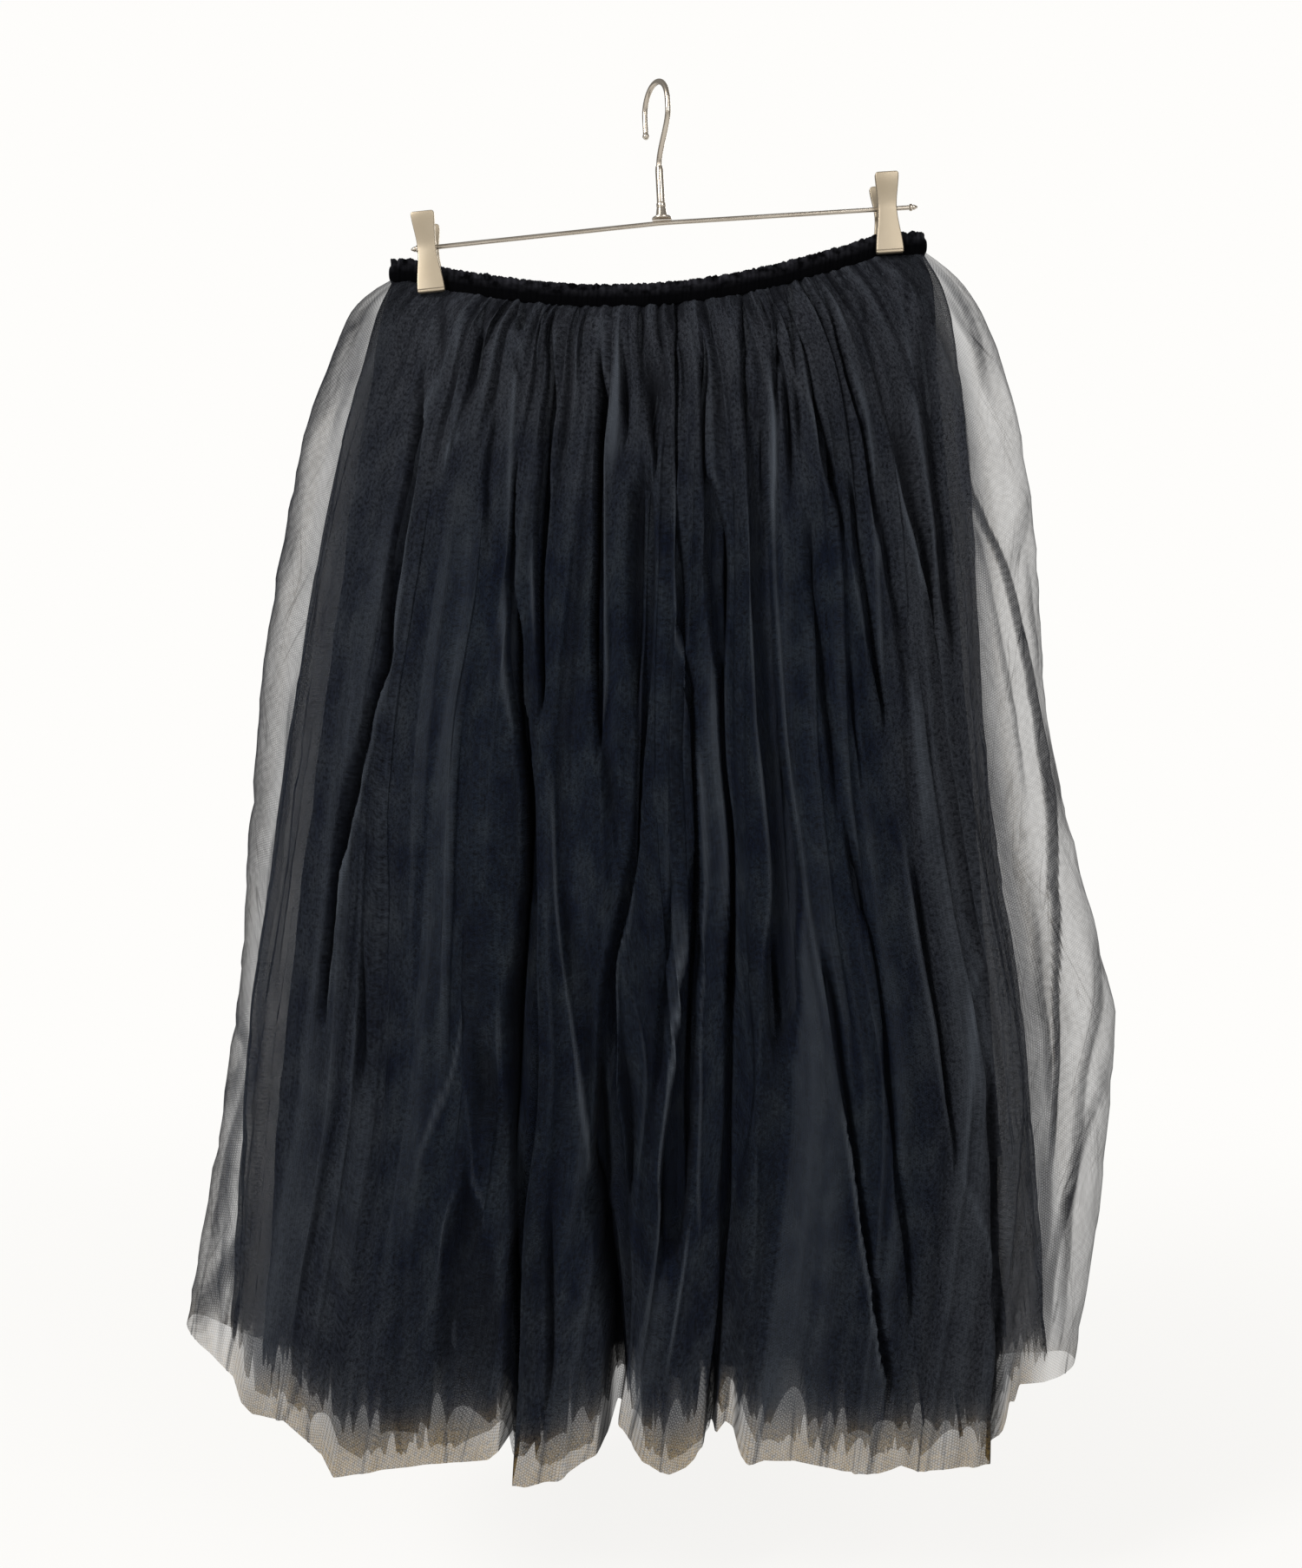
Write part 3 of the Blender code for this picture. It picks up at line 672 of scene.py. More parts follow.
def gathered_tube(layer, folds, shared, rows, columns, hem_line, whole_cut, rng, waves, depth):
    """A layer's cloth all the way round, with its flat-cloth coordinates in metres.

    whole_cut: the cloth's real width, in metres. waves: the crumpling's height in mm.
    depth: how much of the shared folds' height this layer has.
    """
    fall = np.linspace(0, 1, rows) ** ROW_SPACING
    down = fall[:, None]
    share, x, y, top = ring_points(layer, fall)
    way = cumulative(x, y)
    total = way[:, -1:]
    own, own_lean, own_painted_light, dense = fold_shape(folds, fall, way, total)
    deep, deep_lean, deep_painted_light, _ = fold_shape(shared, fall, way, total)
    for cells_round, cells_down, full_at, size in CRUMPLES:
        crumpled = crumple(rng, fall, way, total, cells_round, cells_down)
        own = own + size * waves * crumpled * smoothstep(0, full_at, down)
    deep = deep * (SHARED_AT_BAND + (1 - SHARED_AT_BAND) * down ** SHARED_GROWS)
    settled, free = smoothstep(0, TUCK_FALL, down), open_share(x, down * FALL_LENGTH)
    height = soft_limit(own, column(layer, "stand", down)) + deep * depth
    height = height * (0.3 + 0.7 * settled)
    height = height * np.where(height > 0, 0.5 + 0.5 * free, free) - TUCK_IN * (1 - settled)
    px, py = pushed(x, y, height, (own_lean + deep_lean) * free * settled)
    cloth = cumulative(px, py)[:, -1:]
    hem = hem_line(share, x[-1], y[-1])
    z = top + down * (hem - top) + TUCK_UP * (1 - settled)
    gathering = np.maximum(1, whole_cut / MM / cloth)
    fullness = fullness_at(layer, down, share, x, gathering, dense)
    # painted shade where the folds sink in, and a painted highlight where they stand out
    tone = np.clip(1 + own_painted_light + deep_painted_light, DARKEST, PALEST)
    painted_light_behind, beside = lone_at(layer, down, x, dense)
    want = mesh_columns(way, columns)
    cut = np.array([[np.interp(want, way[r] / total[r], values[r])[:-1] for r in range(rows)]
                    for values in (px, py, z, fullness, tone, painted_backlight_at(down, x), painted_light_behind, beside)])
    print(f"{layer.name}: {cloth[0, 0]:.0f} mm round the band, {cloth[-1, 0]:.0f} mm round the hem")
    return Sheet(np.moveaxis(cut[:3], 0, -1), want * total[-1, 0] * MM,
                 fall * (np.mean(top - hem) * MM), *cut[3:])


def ring_quads(rings, points, bands):
    """Faces between neighbouring rings of points that close, for this many bands of faces."""
    r, c = np.meshgrid(np.arange(bands), np.arange(points), indexing="ij")
    below, after = (r + 1) % rings, (c + 1) % points
    return np.stack([r * points + c, below * points + c, below * points + after,
                     r * points + after], -1).reshape(-1, 4)


def sheet_object(name, sheet, material):
    """The sheet as one smooth closed tube of quads, with its flat-cloth coordinates as UVs."""
    rows, cols = sheet.points.shape[:2]
    made = mesh_object(name, (sheet.points * MM).reshape(-1, 3).tolist(),
                       ring_quads(rows, cols, rows - 1).tolist(), material)
    r, c = np.meshgrid(np.arange(rows - 1), np.arange(cols), indexing="ij")
    uv = np.stack([np.stack([sheet.u[c + j], sheet.v[r + i]], -1)
                   for i, j in ((0, 0), (1, 0), (1, 1), (0, 1))], 2)
    made.data.uv_layers.new(name="cloth").data.foreach_set("uv", uv.astype(np.float32).ravel())
    for key in LOOKS:
        values = getattr(sheet, key).astype(np.float32).ravel()
        made.data.attributes.new(key, "FLOAT", "POINT").data.foreach_set("value", values)
    return made


print("the net's attributes:", *LOOKS)

# %% [markdown]
# ## Tulle
#
# Tulle is knitted nylon: black filament in hexagonal cells about a millimetre wide. Light passes
# the holes and stops at the threads, so the material is a near-black fibre with an opacity. Seen
# at a slant, the same threads cover more of what is behind them, and that is what draws a dark
# edge along every fold: the light let through is raised to the power of one over the cosine.
# Nylon dyed black isn't even: it has greenish grey patches and navy ones, and a fine grain. Where
# two nets lie alone over each other they make watery rings, and net that lay in a drawer keeps the
# fine creases that were pressed into it. Both are too thin to build, so they are patterns here.

# %% Patterns on the flat cloth
NET_CELL_MM = 1.8  # the real cells are about 1.2 mm; these are drawn coarser, to show
GRAIN_MM = 2.0  # the grain is one filament in life, so this is coarser too
STREAK_MM, PATCH_MM = 5.0, 20.0  # the widths of a wandering thread-line and of a patch of dye
RIPPLE_MM = 4.5  # of the watery rings where two nets lie over each other
WAVE_BAND = 0.314  # how wide a light or a dark band of the wave texture is, along its x
PRESSED_MM = (13.0, 170.0)  # the cells of the pressed-in creases: across, and along
PRESSED_TURNS = (0.3, -0.35)  # their two slants, in radians
PRESSED_LINE = 0.11  # how much of a cell's height a crease takes up


def hex_net(tree, place, cell_mm):
    """1 on the threads of a hexagonal net and 0 in its holes, from flat-cloth metres."""
    total = 0.0
    wave_number = math.tau / (cell_mm * MM * math.sqrt(3) / 2)
    for turn in (0, 60, 120):
        a = math.radians(turn)
        along = (wave_number * math.cos(a), wave_number * math.sin(a), 0)
        dot = node(tree, "VectorMath", {0: place, 1: along}, operation="DOT_PRODUCT")
        wave = node(tree, "Math", {0: dot.outputs["Value"]}, operation="COSINE")
        total = node(tree, "Math", {0: total, 1: wave}, operation="ADD")
    return node(tree, "MapRange", {"Value": total, "From Min": -0.1, "From Max": -0.9},
                interpolation_type="SMOOTHSTEP")


def noise(tree, place, wide_mm, tall_mm, detail, swing):
    """Noise on the flat cloth, in cells of this size, from -swing to swing."""
    cells = node(tree, "Mapping", {"Vector": place,
                                   "Scale": (1 / (wide_mm * MM), 1 / (tall_mm * MM), 1)})
    made = node(tree, "TexNoise", {"Vector": cells, "Scale": 1.0, "Detail": detail,
                                   "Roughness": 0.65})
    return node(tree, "MapRange", {"Value": made, "From Min": 0.3, "From Max": 0.7,
                                   "To Min": -swing, "To Max": swing})


def ripples(tree, place, across_mm, swing):
    """Wandering parallel rings, like those of watered silk, from -swing to swing."""
    cells = node(tree, "Mapping", {"Vector": place, "Scale": (WAVE_BAND / (across_mm * MM),) * 3})
    made = node(tree, "TexWave", {"Vector": cells, "Scale": 1.0, "Distortion": 11.0,
                                  "Detail": 1.0, "Detail Scale": 0.6}, bands_direction="DIAGONAL")
    return node(tree, "MapRange", {"Value": made.outputs["Fac"], "To Min": -swing,
                                   "To Max": swing})


def pressed(tree, place, turn):
    """From 0 to 1 on thin slanting lines that come and go, where a noise passes through zero."""
    wide, tall = PRESSED_MM
    turned = node(tree, "VectorRotate", {"Vector": place, "Angle": turn}, rotation_type="Z_AXIS")
    height = noise(tree, turned, wide, tall, 1.0, 1.0)
    height = node(tree, "Math", {0: height}, operation="ABSOLUTE")
    line = node(tree, "MapRange", {"Value": height, "From Max": PRESSED_LINE, "To Min": 1.0,
                                   "To Max": 0.0})
    some = node(tree, "Clamp", {"Value": noise(tree, turned, 2 * wide, 0.5 * tall, 1.0, 1.0)})
    return node(tree, "Math", {0: line, 1: some}, operation="MULTIPLY")


print(f"the net has {25.4 / NET_CELL_MM:.0f} cells to the inch")

# %% [markdown]
# ## The net's opacity and colour
#
# How clear one net is comes from its cells. To the power of how many nets lie there, that is what
# the sheet lets through. The colour starts from the two dye patches. Painted light goes over them:
# the net is painted lighter where light comes through the layers, painted a warm tint where it
# hangs alone against the light, painted darker as shade down in a fold, and painted paler as a
# highlight up at its edge.

# %% Tulle
STREAKS, PATCHES, GRAIN, RIPPLES = 0.07, 0.5, 0.7, 0.1  # how far each pattern swings
PATCHED_NET, PATCHED_VEIL, PATCHED_TONE = 0.4, 0.5, 0.35  # how much the patches change each of these
PRESSED_NET = 1.1  # thicknesses of net in a pressed-in crease
SLANTS, LEAST_COSINE = -0.6, 0.16  # the power of the cosine, and how far it may fall along an edge
TONE_KEPT, GREY_SHARE = 0.7, 0.42  # the dye's share in evenly lit net, and grey's in the dye


def tulle(name, hole, thread, colours, turn=0.0):
    """Black net. hole, thread: opacity of its holes (fuzz and unseen folds) and of its threads.

    colours: the painted shade in a fold, the two dye patches, the painted backlight where light comes
    through the layers, the painted highlight along a fold's edge, and the painted warm tint of one net
    against the light.
    """
    made, tree, shader = fresh_material(name)
    shade, navy, grey, backlight_colour, edge, light_behind_colour = (linear(colour) for colour in colours)
    cloth = node(tree, "UVMap", uv_map="cloth")
    fullness, tone, painted_backlight, painted_light_behind, beside = (
        node(tree, "Attribute", attribute_name=key).outputs["Fac"] for key in LOOKS)
    streaks = noise(tree, cloth, STREAK_MM, 12 * STREAK_MM, 3.0, STREAKS)
    patches = noise(tree, cloth, PATCH_MM, 2.2 * PATCH_MM, 6.0, PATCHES)
    grain = noise(tree, cloth, GRAIN_MM, 1.3 * GRAIN_MM, 2.0, GRAIN)

    # its opacity
    turned = node(tree, "VectorRotate", {"Vector": cloth, "Angle": turn}, rotation_type="Z_AXIS")
    net = hex_net(tree, turned, NET_CELL_MM)
    clear = node(tree, "MapRange", {"Value": net, "To Min": 1 - hole, "To Max": 1 - thread})
    rings = ripples(tree, cloth, RIPPLE_MM, RIPPLES)
    for slant in PRESSED_TURNS:
        rings = node(tree, "Math", {0: pressed(tree, cloth, slant), 1: PRESSED_NET, 2: rings},
                     operation="MULTIPLY_ADD")
    uneven = node(tree, "Math", {0: patches, 1: PATCHED_NET, 2: streaks}, operation="MULTIPLY_ADD")
    uneven = node(tree, "Math", {0: uneven, 1: 1.0}, operation="ADD")
    uneven = node(tree, "Math", {0: rings, 1: beside, 2: uneven}, operation="MULTIPLY_ADD")
    facing = node(tree, "LayerWeight", {"Blend": 0.5}).outputs["Facing"]
    cosine = node(tree, "Math", {0: 1.0, 1: facing}, operation="SUBTRACT")
    cosine = node(tree, "Math", {0: cosine, 1: LEAST_COSINE}, operation="MAXIMUM")
    slanted = node(tree, "Math", {0: cosine, 1: SLANTS}, operation="POWER")
    nets = node(tree, "Math", {0: fullness, 1: slanted}, operation="MULTIPLY")
    nets = node(tree, "Math", {0: nets, 1: uneven}, operation="MULTIPLY")
    passed = node(tree, "Math", {0: clear, 1: nets}, operation="POWER")
    opacity = node(tree, "Math", {0: 1.0, 1: passed}, operation="SUBTRACT")

    # its colour
    greyed = node(tree, "Math", {0: patches, 1: GREY_SHARE}, operation="ADD")
    # painted backlight: lighter net where light comes through the layers
    backlight_share = node(tree, "Math", {0: patches, 1: PATCHED_VEIL, 2: painted_backlight}, operation="MULTIPLY_ADD",
                  use_clamp=True)
    # painted warm tint for the light behind a net that hangs alone
    light_behind_share = node(tree, "Math", {0: painted_light_behind, 1: cosine}, operation="MULTIPLY")
    dye = navy
    for amount, colour in ((greyed, grey), (backlight_share, backlight_colour), (light_behind_share, light_behind_colour)):
        dye = node(tree, "MixRGB", {"Fac": amount, "Color1": dye, "Color2": colour})
    worn = node(tree, "Math", {0: streaks, 1: grain}, operation="ADD")
    worn = node(tree, "Math", {0: patches, 1: PATCHED_TONE, 2: worn}, operation="MULTIPLY_ADD")
    worn = node(tree, "Math", {0: worn, 1: TONE_KEPT}, operation="ADD")
    # painted shade takes a fold's depth down to the shade colour, and a painted highlight takes its edge
    # up to the edge colour
    below = node(tree, "Clamp", {"Value": tone})
    lit = node(tree, "Math", {0: below, 1: worn}, operation="MULTIPLY", use_clamp=True)
    painted_highlight = node(tree, "MapRange", {"Value": tone, "From Min": 1.0, "From Max": 2.0})
    tint = node(tree, "MixRGB", {"Fac": lit, "Color1": shade, "Color2": dye})
    tint = node(tree, "MixRGB", {"Fac": painted_highlight, "Color1": tint, "Color2": edge})
    fill(shader, {"Base Color": tint, "Alpha": opacity, "Roughness": 0.8, "IOR": 1.53,
                  "Specular IOR Level": 0.04, "Sheen Weight": 0.012, "Sheen Roughness": 0.45,
                  "Sheen Tint": linear("#B9BCC6")})
    return made


outer_net = tulle("black_nylon_tulle_outer", 0.3, 0.46,
                  ("#0B0C10", "#0E1423", "#21272C", "#2B2D32", "#4C5158", "#735B24"))
middle_net = tulle("black_nylon_tulle_middle", 0.36, 0.62,
                   ("#090A0D", "#0E1321", "#1B2025", "#27292D", "#3A3E46", "#2E3034"), 0.4)
inner_net = tulle("black_nylon_tulle_inner", 0.84, 0.97,
                  ("#08090D", "#0C111E", "#191D22", "#24262A", "#2D3239", "#15171B"), 0.9)
print("three nets, the innermost with", len(inner_net.node_tree.nodes), "nodes")

# %% [markdown]
# ## Lining
#
# Under the net hangs polyester taffeta, a tight plain weave that is smooth enough for a dull
# shine. It is a checker of warp and weft, pushed up and down a little, with uneven yarn.

# %% Lining
WEAVE_MM = 1.0  # the lining's threads are 0.2 mm, too fine to draw


def lining_material():
    made, tree, shader = fresh_material("black_polyester_lining")
    cloth = node(tree, "UVMap", uv_map="cloth")
    cells = node(tree, "Mapping", {"Vector": cloth, "Scale": (1 / (WEAVE_MM * MM),) * 3})
    weave = node(tree, "TexChecker", {"Vector": cells, "Scale": 1.0}).outputs["Fac"]
    slubs = noise(tree, cloth, 12 * WEAVE_MM, WEAVE_MM, 2.0, 0.3)
    slubs = node(tree, "Math", {0: slubs, 1: 0.5}, operation="ADD")
    tint = node(tree, "MixRGB", {"Fac": slubs, "Color1": linear("#040508"),
                                 "Color2": linear("#090A0E")})
    bump = node(tree, "Bump", {"Height": weave, "Strength": 0.3, "Distance": 0.05 * MM})
    fill(shader, {"Base Color": tint, "Normal": bump, "Roughness": 0.6, "IOR": 1.5,
                  "Specular IOR Level": 0.08})
    return made


lining_cloth = lining_material()
print("lining:", lining_cloth.name)

# %% [markdown]
# ## The front's valleys
#
# The front's big folds are broad panels, and between them run valleys with steep walls and floors
# painted dark as shade, the deeper the darker: narrow at the band, wider and further apart towards
# the hem. They are shared: where the outer layer is pushed in, the layers under it are pushed in
# too. A valley that leans slides under its neighbour, whose edge is then crisp. Each table row is a
# height and the valley's two edges.

# %% The front's valleys
VALLEYS = [
    hung(-24, [(-152, -151, -145), (-175, -151, -144), (-198, -150, -146)]),
    hung(-26, [(-212, -165, -161), (-250, -167, -161), (-290, -172, -166), (-330, -180, -172),
               (-370, -183, -176), (-410, -184, -179), (-450, -196, -189), (-500, -208, -200),
               (-560, -218, -212), (-640, -225, -219)], 4, 4),
    hung(-24, [(-166, -125, -120), (-185, -124, -119), (-202, -127, -118), (-225, -131, -124)]),
    hung(-10, [(-228, -116, -109), (-250, -113, -108), (-275, -117, -112), (-330, -116, -110)]),
    hung(-18, [(-160, -96, -90), (-178, -94, -89)]),
    hung(-18, [(-200, -99, -94), (-212, -95, -91)]),
    hung(-34, [(-290, -98, -96), (-345, -99, -95), (-370, -99, -94), (-400, -98, -91),
               (-440, -97, -91), (-470, -94, -85), (-500, -91, -82), (-550, -90, -81),
               (-600, -94, -81), (-650, -100, -80), (-700, -101, -81), (-750, -100, -87),
               (-800, -98, -90), (-850, -98, -91), (-990, -98, -92)], 3, 6),
    hung(-34, [(-175, -76, -72), (-200, -75, -71), (-240, -78, -71), (-280, -79, -73),
               (-300, -81, -73), (-340, -82, -76), (-380, -81, -76), (-430, -78, -75)], 2, 5),
    hung(-30, [(-205, -41, -38), (-250, -41, -36), (-300, -42, -36), (-340, -41, -36),
               (-380, -43, -36), (-430, -41, -36), (-460, -40, -36)], 3, 5),
    hung(-10, [(-465, -38, -33), (-500, -33, -26), (-530, -28, -22)]),
    hung(-20, [(-195, -25, -22), (-225, -24, -20), (-250, -21, -18)]),
    hung(-16, [(-168, -12, -6), (-190, -12, -2), (-222, -9, 3)]),
    hung(-30, [(-215, -6, 5), (-245, -4, 3), (-270, -1, 2)]),
    hung(-20, [(-285, -10, -3), (-300, -17, -2), (-350, -18, -1), (-400, -17, -3), (-430, -16, -6),
               (-460, -15, -9), (-485, -14, -11)], 3, 6, -0.7),
    hung(-40, [(-475, -14, -11), (-530, -17, -13), (-560, -21, -17), (-600, -29, -24),
               (-620, -34, -27), (-650, -37, -27), (-700, -40, -27), (-750, -43, -24),
               (-800, -38, -20), (-850, -34, -20), (-990, -34, -19)], 3, 6),
    hung(-14, [(-670, -27, -17), (-730, -22, -14), (-780, -21, -17)]),
    hung(-11, [(-570, -62, -56), (-600, -61, -52), (-650, -54, -42), (-710, -49, -41)]),
    hung(-30, [(-160, 14, 18), (-200, 13, 16), (-250, 13, 16), (-300, 14, 18), (-340, 13, 19),
               (-380, 16, 21), (-420, 22, 27), (-450, 26, 32), (-480, 27, 33), (-530, 29, 34),
               (-560, 27, 36), (-600, 25, 34), (-650, 20, 31), (-700, 11, 28), (-750, 5, 27),
               (-800, 6, 22)], -4, 5),
    hung(-34, [(-195, 33, 37), (-215, 32, 38), (-240, 33, 37), (-280, 34, 38), (-300, 36, 43),
               (-350, 38, 47), (-380, 39, 46), (-430, 41, 44), (-480, 42, 45), (-520, 46, 50),
               (-560, 48, 51), (-700, 48, 51), (-750, 45, 51), (-800, 44, 50),
               (-990, 43, 50)], 2, 5),
    hung(-27, [(-235, 63, 74), (-300, 65, 78), (-350, 66, 80), (-400, 68, 82), (-450, 70, 86),
               (-500, 75, 91), (-550, 79, 99), (-600, 79, 98), (-660, 80, 94)], -2, 6, -0.75),
    hung(-28, [(-148, 60, 64), (-185, 60, 64), (-215, 60, 63), (-240, 61, 66)]),
    hung(-24, [(-160, 82, 85), (-200, 82, 85), (-225, 82, 85)]),
    hung(-30, [(-142, 93, 96), (-170, 94, 97), (-200, 95, 98)]),
    hung(-14, [(-222, 87, 91), (-285, 91, 94)]),
    hung(-14, [(-222, 96, 99), (-255, 98, 101)]),
    hung(-30, [(-190, 101, 104), (-220, 106, 110), (-250, 112, 116), (-280, 118, 121),
               (-315, 123, 127)], 2, 4),
    hung(-15, [(-320, 101, 106), (-350, 102, 108), (-400, 106, 114), (-430, 111, 117),
               (-470, 116, 121), (-500, 119, 123)]),
    hung(-30, [(-155, 120, 123), (-185, 126, 129), (-205, 131, 134), (-230, 137, 140),
               (-250, 142, 145), (-280, 146, 149), (-310, 149, 153)], -2, 4),
    hung(-20, [(-138, 131, 135), (-158, 131, 135)]),
    hung(-20, [(-152, 144, 147), (-182, 145, 148)]),
    hung(-24, [(-136, 173, 177), (-164, 174, 177)]),
    hung(-30, [(-300, 132, 136), (-330, 135, 140), (-360, 139, 144), (-390, 143, 148),
               (-440, 152, 155)], 2, 4),
    hung(-12, [(-415, 128, 131), (-450, 132, 135), (-485, 138, 141)]),
    hung(-16, [(-530, 127, 131), (-560, 132, 137), (-600, 142, 147), (-640, 149, 153),
               (-690, 154, 158), (-740, 159, 163), (-790, 164, 168), (-840, 168, 172)]),
    hung(-14, [(-300, 150, 155), (-350, 156, 162), (-390, 163, 169), (-430, 168, 174)]),
    hung(-17, [(-245, 163, 175), (-290, 170, 180), (-330, 180, 187), (-385, 189, 194)], -3, 4),
    hung(-16, [(-140, 182, 190), (-200, 182, 194), (-250, 186, 194), (-300, 190, 197),
               (-350, 194, 201), (-400, 200, 205)]),
    hung(-32, [(-625, 115, 118), (-670, 122, 125.5), (-710, 128, 131.5), (-750, 133, 137),
               (-790, 138, 142), (-840, 146, 150), (-890, 154, 158)], -3, 5),
    hung(-15, [(-555, 171, 178), (-600, 178, 184), (-640, 185, 189), (-690, 193, 197),
               (-740, 201, 205)]),
    hung(-16, [(-700, 221, 227), (-760, 223, 229), (-990, 227, 233)]),
    hung(-11, [(-762, -126, -122), (-800, -137, -113), (-840, -141, -108), (-885, -141, -105)],
         crisp=5),
    hung(-8, [(-670, -118, -112), (-690, -117, -106), (-740, -112, -100)], crisp=4),
    hung(-8, [(-600, -198, -193), (-640, -198, -192), (-690, -196, -191)]),
    hung(-10, [(-790, -72, -68), (-850, -71, -66), (-900, -72, -67)]),
    hung(-9, [(-560, 12, 18), (-640, 2, 9), (-700, -4, 2)]),
]
print(len(VALLEYS), "valleys")

# %% [markdown]
# ## The front's pale creases
#
# Where net is folded sharply outwards, its threads line up along the edge and catch the light. On
# the dark front that draws a few fine pale lines, which run beside the valleys and cross the
# panels. Each is a narrow crest with a painted highlight, a pale tone painted along it, and only
# the outer layer has it.

# %% The front's creases
def crease(rows, width=3.2, tone=0.6, height=2.2, crisp=2.0, dense=0.0):
    """A narrow crest along (z, x) points, painted pale as a highlight line on the dark mass."""
    rows = [(z, x - width / 2, x + width / 2) for z, x in rows]
    return hung(height, rows, 0.0, crisp, 0.6 * tone, dense)


CREASES = [
    crease([(-155, -128), (-210, -137), (-245, -138)], 5, 0.3),
    crease([(-155, -140), (-200, -147), (-230, -157)], 5, 0.3),
    crease([(-240, -160), (-300, -168), (-350, -172), (-400, -178), (-430, -182), (-465, -188),
            (-500, -196), (-530, -204), (-560, -210), (-600, -216), (-640, -218)], 4, 0.8),
    crease([(-215, -97), (-300, -99), (-330, -99)], 4, 0.5),
    crease([(-370, -101), (-400, -101), (-450, -98), (-480, -93), (-530, -91), (-560, -92)], 4),
    crease([(-345, -84), (-390, -82)], 3, 0.7),
    crease([(-500, -68), (-570, -66), (-610, -62), (-660, -55), (-710, -50), (-750, -44),
            (-800, -38)], 3.2, 0.8),
    crease([(-560, -79.5), (-600, -79.5), (-700, -80), (-750, -85), (-800, -89), (-870, -91)]),
    crease([(-230, -36), (-300, -35), (-380, -34), (-430, -33), (-458, -36)]),
    hung(4, [(-188, -28, -25), (-230, -33, -24), (-270, -36, -22)], tone=0.4),
    crease([(-170, -8), (-205, -7), (-222, -2)], 3, 0.5),
    crease([(-550, -16), (-590, -19), (-612, -26), (-680, -26), (-720, -24), (-760, -21),
            (-800, -19), (-890, -18)], 3.2, 0.5),
    crease([(-635, -17), (-665, -10), (-690, -8), (-740, -13), (-800, -16)], 4, 0.45),
    crease([(-635, -122), (-680, -132), (-710, -142), (-745, -153)], 3, 0.7),
    crease([(-690, -123), (-730, -120), (-760, -120), (-790, -115), (-825, -109)], 4, 0.6),
    crease([(-760, -126), (-790, -138), (-835, -141)], 4, 0.4),
    crease([(-640, -104), (-690, -106)], 5, 0.4),
    crease([(-285, 12), (-370, 12), (-385, 14), (-410, 17), (-422, 20), (-434, 25)], 2.6, 0.9),
    crease([(-430, 27), (-500, 35), (-560, 38), (-620, 34), (-680, 31), (-750, 30), (-795, 31)]),
    crease([(-600, 22), (-640, 18), (-680, 10), (-720, 5), (-745, 2), (-788, 3)], 3, 1.2),
    crease([(-785, 24), (-810, 21), (-840, 16), (-875, 9)], 3, 0.9),
    crease([(-430, 40), (-480, 41), (-520, 44), (-580, 47)], 3, 0.5),
    crease([(-320, 63), (-370, 65), (-430, 68), (-470, 70), (-530, 76), (-560, 78), (-610, 74),
            (-680, 73), (-720, 69), (-750, 71), (-800, 69), (-835, 67)], 4, 0.6),
    crease([(-235, 82), (-305, 81)], 3, 1.5),
    crease([(-200, 79), (-300, 79.5), (-350, 81), (-400, 84), (-450, 88), (-500, 93), (-560, 101),
            (-600, 108), (-645, 117)], 4, 0.45),
    crease([(-200, 101), (-240, 109), (-280, 117), (-320, 127), (-360, 135), (-400, 142)], 4, 0.5),
    crease([(-155, 124), (-200, 136), (-240, 145), (-280, 149), (-340, 151), (-420, 153)], 4, 0.5),
    crease([(-250, 160), (-300, 169), (-340, 179), (-375, 188)], 3.4, 0.7),
    crease([(-310, 149), (-360, 158), (-400, 167), (-440, 174), (-480, 178), (-530, 183)], 4, 0.6),
    crease([(-540, 168), (-620, 178), (-670, 187), (-740, 198)], 4, 0.6),
    crease([(-160, 172), (-220, 178), (-260, 182), (-330, 190), (-375, 196)], 4, 0.4),
    crease([(-710, 127), (-750, 131), (-780, 134.5), (-820, 140), (-860, 147), (-890, 152)], 3, 1.3),
    crease([(-630, 208), (-700, 213), (-750, 209)], 3, 0.7),
    crease([(-605, 218), (-645, 209)], 3, 0.6),
    crease([(-755, 206), (-800, 219), (-865, 228)], 3, 0.6),
    crease([(-256, -135), (-265, -142), (-274, -144)], 3, 0.8),
    crease([(-425, -188), (-452, -195)], 3, 0.8),
    crease([(-605, 60), (-650, 72)], 3, 0.4),
]
print(len(CREASES), "creases")

# %% [markdown]
# ## Doublings in the plain net
#
# At the two sides the net hangs in one thickness, as clear as smoke, and there a crease shows the
# other way round: the doubled cloth is darker than the net beside it. A few long doublings run
# down each side, with short slanting ones between them.

# %% The sides' doublings
def doubling(rows, dense, width=5.0):
    """A crease in the plain net along (z, x) points, where the doubled cloth looks darker."""
    return crease(rows, width, 0.0, 1.2, 3.0, dense)


